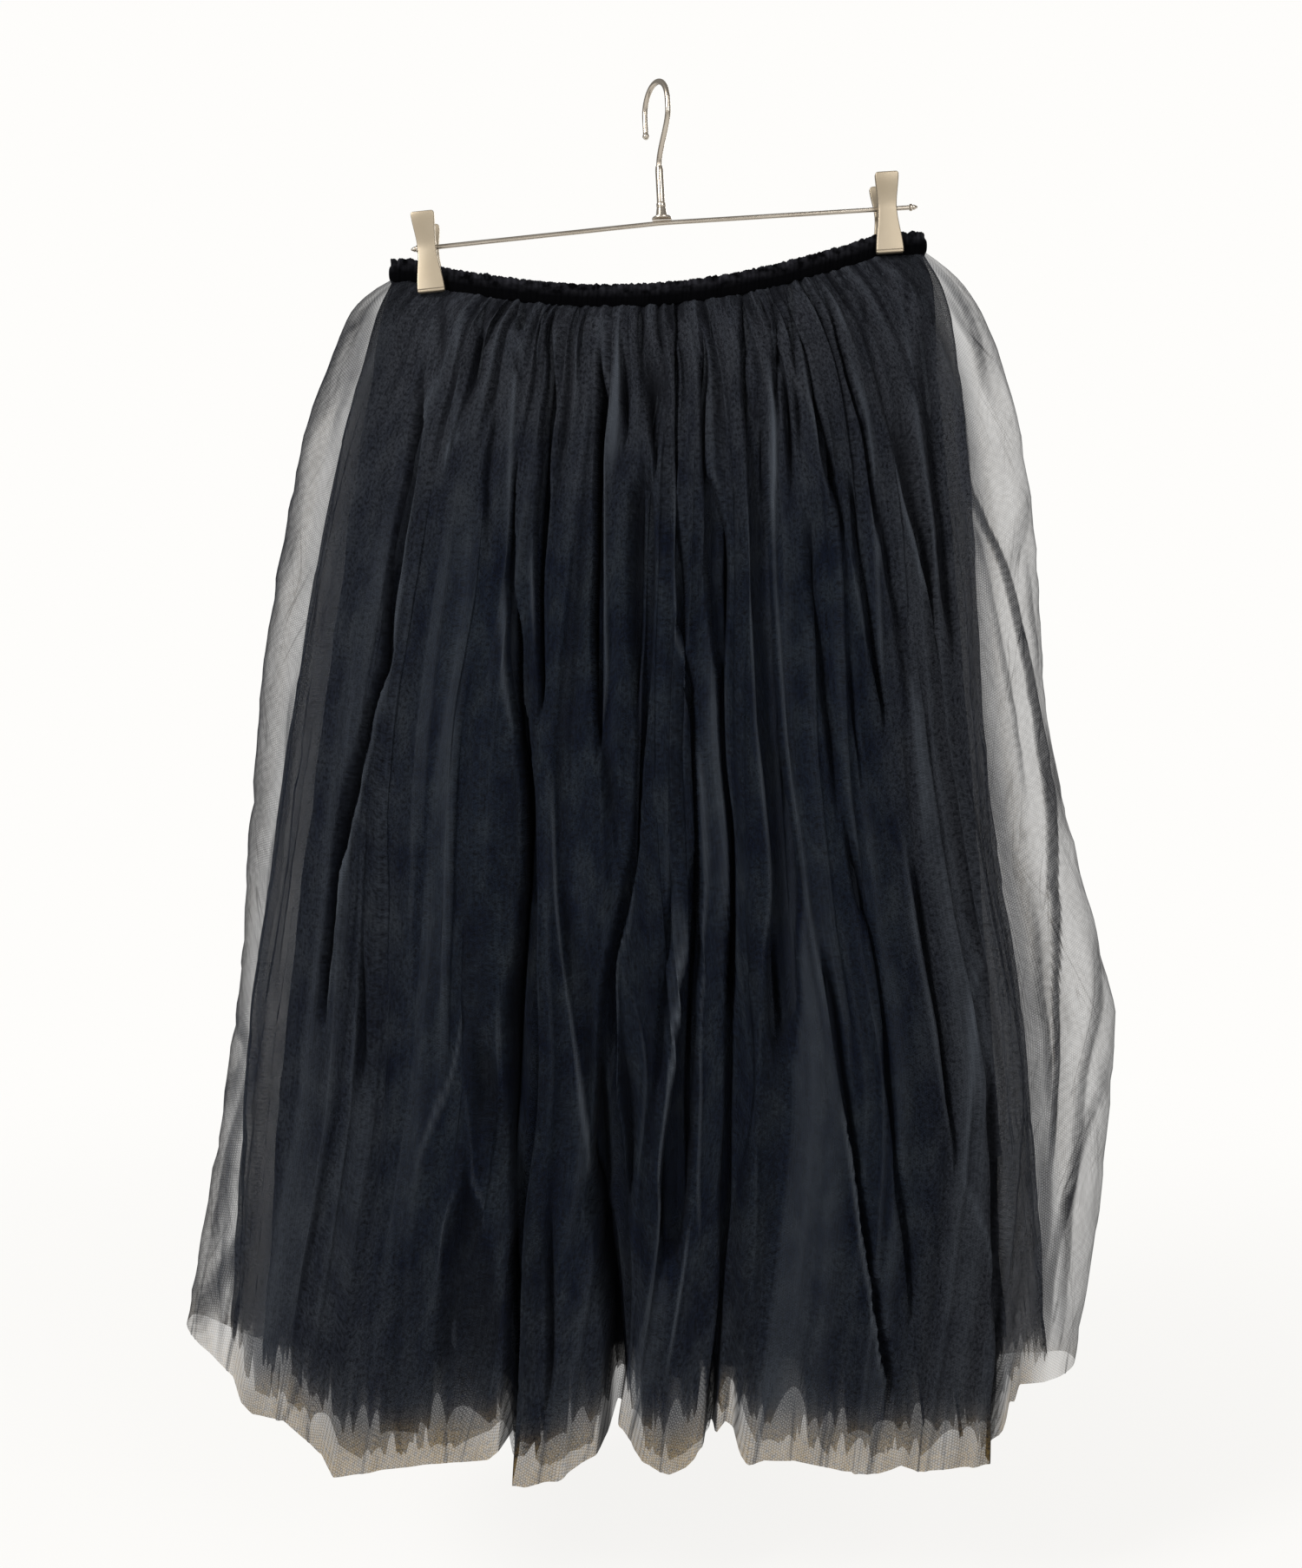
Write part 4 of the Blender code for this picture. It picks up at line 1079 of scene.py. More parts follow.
SIDE_CREASES = [
    hung(3, [(-150, -206, -190), (-175, -219, -196), (-200, -229, -203), (-225, -239, -218),
             (-255, -247, -236)], -3, 6, 0, 1.6),
    hung(1, [(-262, -247, -236), (-300, -252, -241), (-330, -255, -244), (-366, -262, -254)], 0, 5, 0,
         1.2),
    hung(1, [(-366, -264, -252), (-420, -269, -253), (-500, -273, -256), (-560, -275, -262)], 0, 4, 0,
         0.5),
    doubling([(-150, -193), (-165, -205), (-180, -214), (-200, -222)], 1.8),
    doubling([(-165, -200), (-178, -218)], 1.3, 6),
    doubling([(-205, -205), (-232, -216), (-250, -219)], 1.1),
    doubling([(-430, -241), (-445, -244), (-500, -246), (-560, -255), (-640, -261), (-690, -263)], 1.1),
    doubling([(-660, -275), (-698, -262)], 1.5, 7),
    doubling([(-686, -263), (-728, -273), (-766, -281), (-817, -290)], 2.0, 6),
    doubling([(-695, -272), (-725, -280)], 1.1, 6),
    doubling([(-764, -277), (-787, -268)], 1.3, 6),
    doubling([(-809, -268), (-831, -281), (-869, -298)], 2.4, 9),
    doubling([(-766, -279), (-820, -283), (-880, -286)], 1.1, 4),
    doubling([(-130, 195), (-150, 210), (-180, 221), (-212, 226)], 1.8, 6),
    doubling([(-150, 203), (-170, 212), (-190, 222)], 1.5),
    hung(2, [(-140, 200, 214), (-170, 214, 233), (-205, 225, 242)], 2, 5, 0, 0.8),
    hung(1.5, [(-235, 205, 212), (-290, 209, 216), (-313, 220, 226), (-350, 234, 240),
             (-400, 245, 251), (-450, 254, 260), (-500, 260, 267), (-550, 262, 269),
             (-603, 265, 270), (-655, 264, 268.5), (-706, 263, 267), (-752, 260, 264)], 0, 8, 0, 3.6),
    doubling([(-315, 214), (-345, 222), (-395, 232), (-445, 240), (-490, 246)], 1.3, 4),
    doubling([(-300, 252), (-345, 242)], 0.9, 7),
    doubling([(-350, 252), (-420, 257)], 1.3, 4),
    doubling([(-460, 262), (-520, 272)], 1.3),
    doubling([(-598, 254), (-655, 256), (-700, 260), (-725, 262)], 1.8),
    doubling([(-615, 292), (-712, 281), (-765, 274), (-816, 262), (-868, 257)], 1.8, 6),
    doubling([(-700, 298), (-732, 283), (-785, 272), (-860, 267)], 1.5, 7),
    doubling([(-750, 258), (-810, 256), (-870, 250)], 1.8, 9),
]
print(len(SIDE_CREASES), "doublings")

# %% [markdown]
# ## Kinds of scattered folds
#
# Between and behind the big folds come the ones that nobody places. There are four kinds: the fine
# gathers that start at the stitches and merge as they fall, middling folds, the back's own panels
# and valleys, and short ropes of net at the hem. Each kind is a function that draws its folds'
# places and sizes from a generator.

# %% Kinds of scattered folds
SIDE_SPANS = ((0.93, 1.07), (0.43, 0.57))  # the ring near its two sides, where the net hangs plain


def near_side(place):
    return any(low <= place % 1 <= high or low <= place % 1 + 1 <= high for low, high in SIDE_SPANS)


def running(place, drift, near, far, height, tone, lean=0.0, crisp=2.0, life=WHOLE):
    """A fold whose middle goes from place by drift, and whose half-width goes from near to far."""
    path = []
    for fall in (0.0, 0.5, 1.0):
        middle, half = place + drift * fall, near + (far - near) * fall
        path.append((fall, middle - half, middle + half))
    return Fold(path, height, tone, lean, crisp, life)


def gathers(rng, count, height, tone, sides, longest, half, crisp=2.2):
    """Folds at even stitches with some play. sides: the share of them kept where net hangs plain.

    longest: the fall that the longest reaches. half: their half-width, as a share of the step.
    """
    made = []
    for i in range(count):
        place = (i + rng.uniform(-0.4, 0.4)) / count
        size, long = rng.uniform(0.3, 1.2), rng.uniform(0.15, 1.0) * longest
        drift, wide = rng.normal(0, 0.01), rng.uniform(0.6, 1.3) * half / count
        lean = rng.normal(0, 0.2) * height
        if not near_side(place) or rng.uniform() < sides:
            made.append(running(place, drift, wide, 1.7 * wide, size * height, size * tone, lean,
                                crisp, (-0.02, 0.0, 0.35 * long, long)))
    return made


def middling(rng, count, height, tone, sides, narrow=0.0015, wide=0.005, crisp=2.4):
    """Folds that start somewhere on the way down and run to the hem or fade before it."""
    made = []
    for _ in range(count):
        place, start = rng.uniform(), rng.uniform(-0.05, 0.6)
        end = min(1.3, start + rng.uniform(0.25, 1.0))
        half, size = rng.uniform(narrow, wide), rng.uniform(0.3, 1.3)
        drift, lean = rng.normal(0, 0.012), rng.normal(0, 2.0)
        if not near_side(place) or rng.uniform() < sides:
            made.append(running(place, drift, 0.7 * half, 1.3 * half, size * height, size * tone, lean,
                                crisp, (start, start + 0.12, end - 0.1, end)))
    return made


def hem_strands(rng, count, dense):
    """Short ropes of net that end at the hem, where the cut edge has curled on itself."""
    made = []
    for _ in range(count):
        place, start, half = rng.uniform(), rng.uniform(0.88, 0.97), rng.uniform(0.0003, 0.0012)
        bend = rng.normal(0, 0.004)
        path = []
        for fall, wide in ((0.85, 2.0), (0.95, 1.2), (1.0, 0.6)):
            middle = place + bend * (fall - 0.9) * 10
            path.append((fall, middle - half * wide, middle + half * wide))
        made.append(Fold(path, 0.6, 0.0, 0.0, 2.4, (start, start + 0.04, 1.2, 1.4),
                         dense * rng.uniform(0.4, 1.2)))
    return made


PARTWAY = (  # the lives of folds that don't run from the band to the hem
    (-0.02, 0.1, 0.3, 0.62), (0.24, 0.5, 1.2, 1.4), (-0.02, 0.1, 0.62, 0.95),
)
SMALLER = 0.9  # than this share of the full height, and an uneven fold runs only part of the way


def broad(rng, count, low, high, height, tone, half, crisp=5.0, uneven=0.0):
    """Panels or valleys between two places on the ring. half: as a share of their step.

    uneven: above 0, their spacing and width vary more, and the smaller ones don't run all the way.
    """
    made = []
    step = (high - low) / count
    for i in range(count):
        place = low + (high - low) * (i + 0.5 + rng.uniform(-0.3, 0.3) * (1 + uneven)) / count
        wide, size = step * rng.uniform(0.6, 1.2) * half, rng.uniform(0.6, 1.1)
        wide *= 1 + uneven * (5 * (size - 0.85) + 0.3)
        drift, lean = rng.normal(0, 0.006) * (1 + 2 * uneven), rng.normal(0, 3)
        life = PARTWAY[i % 3] if uneven and size < SMALLER else WHOLE
        made.append(running(place, drift, 0.8 * wide, wide * (1 + uneven), height * size,
                            tone * size, lean, crisp, life))
    return made


print(f"near a side, folds are left out over {SIDE_SPANS[0][1] - SIDE_SPANS[0][0]:.2f} of the way round")

# %% [markdown]
# ## Scattering the folds
#
# All of them come from one seeded generator, so they are the same in every run. The layers share
# the valleys, the back's folds and the deepest gathers. What is left is each layer's own, and
# keeps the sheets from lying in each other like spoons.

# %% The scattered folds
# gathers: count, height, painted light (shade below zero), share kept at the sides, longest, half-width
# middling: count, height, painted light (shade below zero), share kept at the sides, narrowest, widest,
# crispness
fold_seed = np.random.default_rng(7)
back_folds = (broad(fold_seed, 11, 0.55, 0.95, 14, 0.1, 0.3, uneven=0.5)
              + broad(fold_seed, 16, 0.55, 0.95, -30, -1.0, 0.1, 3.0, 0.6)
              + middling(fold_seed, 40, -14, -0.6, 0.0, 0.0008, 0.002))
back_folds = [f for f in back_folds if f.path[0][1] > 0.53]
shared_folds = (VALLEYS + back_folds
                + gathers(fold_seed, 100, -6, -0.9, 0.6, 0.05, 0.3)
                + gathers(fold_seed, 80, -6, -0.5, 0.6, 0.16, 0.2)
                + gathers(fold_seed, 44, -12, -0.7, 0.4, 0.3, 0.1)
                + gathers(fold_seed, 50, 4.0, 0.1, 0.4, 0.2, 0.3)
                + middling(fold_seed, 50, -3, -0.14, 0.1) + middling(fold_seed, 40, 2.4, 0.1, 0.1))
outer_folds = (CREASES + SIDE_CREASES + gathers(fold_seed, 110, 1.8, 0.1, 0.4, 0.24, 0.25)
               + middling(fold_seed, 60, 2.0, 0.1, 0.1, 0.001, 0.003)
               + middling(fold_seed, 44, -1.2, -0.26, 0.0, 0.004, 0.011, 8.0)
               + middling(fold_seed, 44, 1.2, 0.12, 0.0, 0.004, 0.009, 8.0)
               + hem_strands(fold_seed, 70, 2.0))
middle_folds = (gathers(fold_seed, 110, 2.4, 0.15, 1.0, 0.4, 0.3)
                + middling(fold_seed, 80, 4.0, 0.2, 1.0))
inner_folds = (gathers(fold_seed, 100, 2.0, 0.15, 1.0, 0.4, 0.3)
               + middling(fold_seed, 60, 3.5, 0.2, 1.0))
lining_folds = (broad(fold_seed, 22, 0.0, 1.0, 5, 0.1, 0.3, 2.4)
                + gathers(fold_seed, 70, 1.6, 0.1, 1.0, 0.3, 0.3))
print(len(shared_folds), "shared folds,", len(outer_folds), "in the outer layer alone")

# %% [markdown]
# ## The four layers
#
# Each layer is one cut of cloth, gathered onto the band and held there. The gathers that are too
# fine to build take up the rest of the cut, and their net is in the opacity.

# %% The four layers
LINING_CUT = (1.50, 0.63)
OUTER_WHOLE, MIDDLE_WHOLE, INNER_WHOLE = 5.0, 3.4, 3.0  # with the gathers too fine to build


def layer_of_cloth(layer, folds, mesh, hem_line, whole_cut, waves, material, depth):
    """Hangs one layer. mesh: its rows and columns. waves: how crumpled it is, in mm."""
    sheet = gathered_tube(layer, folds, shared_folds, *mesh, hem_line, whole_cut, fold_seed, waves,
                          depth)
    made = sheet_object(layer.name, sheet, material)
    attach(made, "root")
    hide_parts(f"{layer.name}_front", f"{layer.name}_back")


layer_of_cloth(OUTER, outer_folds, (104, 955), outer_hem, OUTER_WHOLE, 1.4, outer_net,
               1.0)
layer_of_cloth(MIDDLE, middle_folds, (96, 900), ragged_hem(fold_seed, 210, 3, 24),
               MIDDLE_WHOLE, 1.2, middle_net, 0.9)
layer_of_cloth(INNER, inner_folds, (80, 760), ragged_hem(fold_seed, 190, 12, 28),
               INNER_WHOLE, 1.0, inner_net, 0.8)
layer_of_cloth(LINING, lining_folds, (60, 320), lining_hem, LINING_CUT[0], 0.6,
               lining_cloth, 0.45)

# %% [markdown]
# ## Waistband
#
# The casing is a strip of crepe folded over flat elastic and stitched twice. When the elastic
# draws it in, the cloth between the two seams ruches into small upright pleats, and the fold
# above the upper seam stands up as a narrow frill. It is one profile carried round a closed path,
# and pleats of uneven width push the profile in and out.

# %% Waistband
BAND_PROFILE = [  # how far below the frill's edge, half the thickness, and share of the pleats
    (0.0, 0.5, 1.0), (1.2, 0.8, 1.0), (2.6, 1.0, 0.8), (3.8, 1.4, 0.4), (4.4, 1.7, 0.25),
    (5.2, 2.3, 0.55), (6.6, 2.7, 0.9), (8.4, 2.85, 1.0), (10.4, 2.85, 1.0), (12.2, 2.7, 0.9),
    (13.6, 2.4, 0.6), (14.7, 1.9, 0.35), (15.5, 1.5, 0.5), (16.2, 1.0, 0.6),
]
HEADING = 4.2  # the height of the free frill above the upper seam
BAND_COLUMNS = 1300
PLEAT_STEP, PLEAT_DEPTH = 4.3, 0.95
FINE_STEP, FINE_DEPTH, FINE_FRILL = 0.42, 0.25, 0.5  # of a pleat's step, and how far they push, in mm
FRILL_STEP, FRILL_SWAY, FRILL_RISE, RISE_STEP = 8.5, 1.25, 1.3, 1.4
RUBBED_TO = 2.4  # headings below the frill's edge that its nap is rubbed pale


def band_loop(count):
    """The band's middle line as a closed loop of evenly spaced points."""
    bend = BAND_THICK / 2 + (1 - PINCH) * HOLLOW
    left, right = BAND_LEFT + bend + BAND_THICK / 2, BAND_RIGHT - bend - BAND_THICK / 2
    x = np.linspace(left, right, 400)
    y = -(HOLLOW * open_share(x, 0) + BAND_THICK / 2)
    turn = np.radians(np.linspace(-90, 90, 30)[1:-1])
    xs = np.concatenate([x, right + bend * np.cos(turn), x[::-1], left - bend * np.cos(turn)])
    ys = np.concatenate([y, bend * np.sin(turn), -y[::-1], -bend * np.sin(turn)])
    xs, ys = np.append(xs, xs[0]), np.append(ys, ys[0])
    way = cumulative(xs[None], ys[None])[0]
    at = np.linspace(0, way[-1], count, endpoint=False)
    return np.interp(at, way, xs), np.interp(at, way, ys), at, way[-1]


def pleats(rng, at, total, step, blunt):
    """Ridges from 0 to 1 round the loop, at uneven steps."""
    edges = np.cumsum(rng.uniform(0.55, 1.45, round(total / step)))
    edges = np.concatenate([[0], edges / edges[-1] * total])
    i = np.clip(np.searchsorted(edges, at, side="right") - 1, 0, len(edges) - 2)
    tall = rng.uniform(0.55, 1.0, len(edges))
    return tall[i] * np.sin(np.pi * (at - edges[i]) / (edges[i + 1] - edges[i])) ** blunt


def ruched_band(rng):
    """The band's rings of points, and how rubbed the nap is at each."""
    x, y, at, total = band_loop(BAND_COLUMNS)
    tangent_x, tangent_y = np.roll(x, -1) - np.roll(x, 1), np.roll(y, -1) - np.roll(y, 1)
    size = np.hypot(tangent_x, tangent_y)
    out_x, out_y = tangent_y / size, -tangent_x / size
    outside = pleats(rng, at, total, PLEAT_STEP, 0.8)
    inside = pleats(rng, at, total, PLEAT_STEP, 0.8)
    sway = 2 * pleats(rng, at, total, FRILL_STEP, 0.9) - 1
    rise = pleats(rng, at, total, PLEAT_STEP * RISE_STEP, 0.7) - 0.5
    fine = pleats(rng, at, total, PLEAT_STEP * FINE_STEP, 1.0) - 0.5
    rings = []
    for side, pleat, profile in ((1, outside, BAND_PROFILE), (-1, inside, BAND_PROFILE[::-1])):
        for down, half, share in profile:
            free = max(0.0, 1 - down / HEADING)
            off = side * (half + share * PLEAT_DEPTH * (pleat - 0.5) + FINE_DEPTH * share * fine)
            off = off + FRILL_SWAY * sway * free
            z = band_top(x) - down + FRILL_RISE * rise * free + FINE_FRILL * fine * free
            rings.append(np.stack([x + out_x * off, y + out_y * off, z], -1))
    high = np.array([max(0.0, 1 - down / (RUBBED_TO * HEADING)) for down, _, _ in BAND_PROFILE])
    rubbed = np.concatenate([high[:, None] * (0.35 + 0.65 * outside), high[::-1, None] * inside])
    return np.stack(rings), rubbed


band_rings, band_rubbed = ruched_band(np.random.default_rng(11))
print(f"waistband: {len(band_rings)} points round its profile, {BAND_COLUMNS} along it")

# %% [markdown]
# ## The casing's cloth
#
# Nylon crepe is matt and nearly black. Its nap is short and woolly, and where the frill is rubbed,
# tufts of it turn grey. Three sizes of noise draw it: the nap itself, its tufts and its dye.

# %% The casing's cloth
NAP_MM, TUFT_MM, DYE_MM = 1.11, 5.88, 16.7  # the nap is finer in life, and drawn this coarse to show
NAP_DEPTH = 0.6


def band_material():
    made, tree, shader = fresh_material("ruched_black_casing")
    place = node(tree, "TexCoord").outputs["Object"]
    nap, tufts, dye = (
        node(tree, "TexNoise", {"Vector": place, "Scale": 1 / (wide * MM), "Detail": detail})
        for wide, detail in ((NAP_MM, 3.0), (TUFT_MM, 4.0), (DYE_MM, 2.0)))
    tint = node(tree, "MixRGB", {"Fac": dye, "Color1": linear("#010102"),
                                 "Color2": linear("#040405")})
    rubbed = node(tree, "Attribute", attribute_name="rubbed").outputs["Fac"]
    tufts = node(tree, "MapRange", {"Value": tufts, "From Min": 0.35, "From Max": 0.65})
    grey = node(tree, "Math", {0: rubbed, 1: tufts}, operation="MULTIPLY")
    tint = node(tree, "MixRGB", {"Fac": grey, "Color1": tint, "Color2": linear("#2C2C31")})
    bump = node(tree, "Bump", {"Height": nap, "Strength": 0.5, "Distance": NAP_DEPTH * MM})
    fill(shader, {"Base Color": tint, "Normal": bump, "Roughness": 0.9, "IOR": 1.5,
                  "Specular IOR Level": 0.02})
    return made


rings, points = band_rings.shape[:2]
waistband = mesh_object("waistband", (band_rings * MM).reshape(-1, 3).tolist(),
                        ring_quads(rings, points, rings).tolist(), band_material())
waistband.data.attributes.new("rubbed", "FLOAT", "POINT").data.foreach_set(
    "value", band_rubbed.astype(np.float32).ravel())
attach(waistband, "root")
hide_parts("waistband_front", "waistband_back")
print("waistband:", len(waistband.data.polygons), "faces")

# %% [markdown]
# ## Nickel-plated steel
#
# The hanger is steel wire and strip under a thin coat of nickel, which is warmer and yellower than
# chrome. The wire and the turned fittings were polished before plating and stay bright. The clips
# were tumbled with grit, which leaves a satin face whose reflections are only broad soft patches.

# %% Nickel materials
GRIT_MM = 0.5  # the real grain of a tumbled face is under 0.1 mm; this coarse, some of it shows
STAIN_MM = 22.2  # the width of a patch where the plating is duller


def nickel(name, dull, bright, roughness, spread, grain_mm, depth_mm):
    """Nickel over steel. spread: how far its roughness goes up and down from patch to patch."""
    made, tree, shader = fresh_material(name)
    place = node(tree, "TexCoord").outputs["Object"]
    grain = node(tree, "TexNoise", {"Vector": place, "Scale": 1 / (grain_mm * MM), "Detail": 4.0})
    stains = node(tree, "TexNoise", {"Vector": place, "Scale": 1 / (STAIN_MM * MM), "Detail": 3.0})
    tint = node(tree, "MixRGB", {"Fac": stains, "Color1": linear(dull), "Color2": linear(bright)})
    uneven = node(tree, "MapRange", {"Value": stains, "To Min": roughness - spread,
                                     "To Max": roughness + spread})
    bump = node(tree, "Bump", {"Height": grain, "Strength": 0.4, "Distance": depth_mm * MM})
    fill(shader, {"Metallic": 1.0, "Base Color": tint, "Roughness": uneven, "Normal": bump})
    return made


bright_nickel = nickel("polished_nickel_plate", "#AFA394", "#CBC3B6", 0.28, 0.05, 2.0, 0.01)
satin_nickel = nickel("tumbled_satin_nickel_plate", "#A3957F", "#B3A794", 0.5, 0.06, GRIT_MM, 0.03)
spring_steel = nickel("bright_spring_steel", "#A39C92", "#C4BEB5", 0.25, 0.05, 1.0, 0.02)
print("metals:", bright_nickel.name, satin_nickel.name, spring_steel.name)

# %% [markdown]
# ## Bent wire
#
# The hook, the rod and the clips' springs are bent from round wire. Each is a circle swept along a
# route. Every ring of points is turned only as far as the route turns, so the wire never twists.

# %% Bent wire
def swept(route, radii, sides=20):
    """Points and faces of a round bar along a route, closed at both ends."""
    route = [Vector(p) for p in route]
    ahead = [(b - a).normalized() for a, b in zip(route, route[1:])]
    ahead = [ahead[0], *[(a + b).normalized() for a, b in zip(ahead, ahead[1:])], ahead[-1]]
    across = ahead[0].orthogonal().normalized()
    points, faces = [], []
    for i, (place, along, radius) in enumerate(zip(route, ahead, radii)):
        across = (across - along * across.dot(along)).normalized()
        other = along.cross(across)
        for k in range(sides):
            a = math.tau * k / sides
            points.append((place + (across * math.cos(a) + other * math.sin(a)) * radius) * MM)
        if i:
            low, high = (i - 1) * sides, i * sides
            for k in range(sides):
                j = (k + 1) % sides
                faces.append((low + k, low + j, high + j, high + k))
    faces.append(tuple(range(sides))[::-1])
    faces.append(tuple(range(len(points) - sides, len(points))))
    return points, faces


print("a straight bar has", len(swept([(0, 0, 0), (0, 0, 1)], [1, 1])[1]), "faces")

# %% [markdown]
# ## Turned fittings
#
# A ferrule, a stem or a finial is cut on a lathe, so it is a profile spun about an axis. The tool
# leaves no sharp corner, so each corner of the profile becomes a small arc first.

# %% Turned fittings
def rounded(profile, radius, steps=4):
    """A profile with each inner corner turned into a small arc."""
    done = [profile[0]]
    for before, here, after in zip(profile, profile[1:], profile[2:]):
        before, here, after = Vector(before), Vector(here), Vector(after)
        cut = min(radius, (before - here).length * 0.45, (after - here).length * 0.45)
        start = here + (before - here).normalized() * cut
        end = here + (after - here).normalized() * cut
        for i in range(steps + 1):
            t = i / steps
            done.append(tuple(start * (1 - t) ** 2 + here * 2 * t * (1 - t) + end * t * t))
    return done + [profile[-1]]


def lathe(profile, frame, sides=40):
    """Points and faces of (radius, height) pairs spun about frame's Z, from its foot to its top."""
    points, faces, rings = [], [], []
    for radius, height in profile:
        count = 1 if radius < 1e-6 else sides
        rings.append(range(len(points), len(points) + count))
        for k in range(count):
            a = math.tau * k / sides
            points.append(frame @ (Vector((radius * math.cos(a), radius * math.sin(a), height)) * MM))
    for low, high in zip(rings, rings[1:]):
        for k in range(sides):
            j = (k + 1) % sides
            face = [low[k % len(low)], low[j % len(low)], high[j % len(high)], high[k % len(high)]]
            face = [v for i, v in enumerate(face) if v not in face[:i]]
            if len(face) > 2:
                faces.append(face)
    return points, faces


print("a square corner is rounded with", len(rounded([(0, 0), (1, 0), (1, 1)], 0.2)) - 2, "points")

# %% [markdown]
# ## Onto the body
#
# Each piece of the hanger stands for one part of the solid model and rides on the same body. Its
# rounded edges are shaded smooth, and the true corners stay hard.

# %% Onto the body
SHARP_FROM = math.radians(38)  # an edge between two faces that turn more than this is a hard one


def fitted(name, parts, material, slot, *nodes):
    """Joins (points, faces) parts into one piece that rides on the body and replaces its nodes."""
    points, faces = [], []
    for part_points, part_faces in parts:
        faces += [[v + len(points) for v in face] for face in part_faces]
        points += part_points
    made = mesh_object(name, points, faces, material)
    made.data.set_sharp_from_angle(angle=SHARP_FROM)
    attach(made, "root")
    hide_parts(*nodes)
    print(f"{name}: {len(faces)} faces")


print("a hard edge turns more than", round(math.degrees(SHARP_FROM)), "degrees")

# %% [markdown]
# ## Hook
#
# The hook turns in its stem, and here it is turned most of the way out of the rod's plane. Its
# wire comes straight up out of the stem, swings over to the back leg in an S, bends round in a
# half circle and ends in a short straight tip that was rolled to a bead. The stem leans a little.

# %% Hook
WIRE_R, HOOK_R, HOOK_TIP_DROP = 2.0, 17.5, 16.0
HOOK_SWIVEL = math.radians(63)
LEG_DROP = 6.0  # from the bend's middle down to where the S ends
BEAD_R, BEAD_LENGTH = 2.5, 4.2
STEM_TOP = -57.0
SHANK_IN, SHANK_STEP = 12.0, 6.0  # how deep the shank stands in the stem, and its points' spacing
LEAN = Matrix.Rotation(-math.radians(3), 4, "Y")


def hook():
    """Up out of the stem, over to the back leg, round the bend and down to the bead."""
    centre = WIRE_R - HOOK_R
    leg_top = centre - LEG_DROP
    path = [(0, STEM_TOP - SHANK_IN + SHANK_STEP * i) for i in range(2)]
    for t in np.linspace(0, 1, 40):
        path.append((HOOK_R * float(smoothstep(0, 1, t)), STEM_TOP + (leg_top - STEM_TOP) * t))
    for a in np.linspace(0, math.pi, 48):
        path.append((HOOK_R * math.cos(a), centre + HOOK_R * math.sin(a)))
    radii = [WIRE_R] * len(path)
    tip = centre - HOOK_TIP_DROP
    for t in np.linspace(0.1, 1, 12):
        path.append((-HOOK_R, centre + (tip + BEAD_LENGTH - centre) * t))
        radii.append(WIRE_R)
    for t in np.linspace(0, 1, 12)[1:]:
        swell = WIRE_R + (BEAD_R - WIRE_R) * math.sin(math.pi * min(1, 1.2 * t))
        path.append((-HOOK_R, tip + BEAD_LENGTH * (1 - t)))
        radii.append(swell * math.sqrt(max(0.0004, 1 - max(0, (t - 0.5) / 0.5) ** 2)))
    across = Vector((math.cos(HOOK_SWIVEL), -math.sin(HOOK_SWIVEL), 0))
    return swept([LEAN.to_3x3() @ (across * out + Vector((0, 0, z))) for out, z in path], radii)


fitted("hanger_hook", [hook()], bright_nickel, "hanger_metal", "hook_wire")

# %% [markdown]
# ## Stem and ferrule
#
# The shank stands in a tube with a tapered mouth. Under it, a turned ferrule with a groove below
# its collar widens to a flange, which sits on the middle of the rod.

# %% Stem and ferrule
STEM_LENGTH, STEM_R, STEM_TAPER, STEM_MOUTH_R = 26.0, 2.9, 3.0, 2.6
STEM_PLAY = 0.25  # between the wire and the stem's bore
FERRULE_R_TOP, FERRULE_R_FOOT, FERRULE_COLLAR = 3.4, 4.3, 3.0
FERRULE_GAP, GROOVE_HALF, GROOVE_DEEP = 0.2, 0.6, 0.35
FLANGE_R, FLANGE_THICK, FLANGE_ABOVE_ROD, FLANGE_FILLET = 7.0, 1.5, 0.5, 0.3
ROD_R = 1.6
ROD_CENTRE = Vector((5, 0, -97))


def stem():
    foot, bore = STEM_TOP - STEM_LENGTH, WIRE_R + STEM_PLAY
    profile = [(bore, foot), (STEM_R, foot), (STEM_R, STEM_TOP - STEM_TAPER),
               (STEM_MOUTH_R, STEM_TOP), (bore, STEM_TOP)]
    return lathe([*rounded(profile, 0.5), (bore, foot)], LEAN)


def ferrule():
    top = STEM_TOP - STEM_LENGTH - FERRULE_GAP
    base = ROD_CENTRE.z + ROD_R + FLANGE_ABOVE_ROD
    shoulder = base + FLANGE_THICK
    groove = top - FERRULE_COLLAR
    profile = [(0, base), (FLANGE_R, base), (FLANGE_R, shoulder),
               (FERRULE_R_FOOT, shoulder + FLANGE_FILLET),
               (FERRULE_R_TOP, groove - GROOVE_HALF), (FERRULE_R_TOP - GROOVE_DEEP, groove),
               (FERRULE_R_TOP, groove + GROOVE_HALF), (FERRULE_R_TOP, top), (0, top)]
    return lathe(rounded(profile, 0.45), LEAN)


fitted("hanger_stem", [stem()], bright_nickel, "hanger_metal", "stem_tube")
fitted("hanger_ferrule", [ferrule()], bright_nickel, "hanger_metal", "centre_ferrule")

# %% [markdown]
# ## Rod and finials
#
# The rod carries the clips. The skirt's weight pulls both of its halves down a little, so they are
# straight lines that meet in a soft knee under the ferrule. A turned finial closes each end.

# %% Rod and finials
ROD_LEFT, ROD_RIGHT = Vector((-167, 0, -115.3)), Vector((180.2, 0, -86))
KNEE = 0.03  # how far the knee reaches along each half
FINIAL = [(0, 0), (1.6, 0), (2.5, 0.5), (2.5, 2.0), (1.5, 2.6), (1.9, 3.4), (0.6, 5.9), (0, 6.0)]
FINIAL_GAP = 0.2


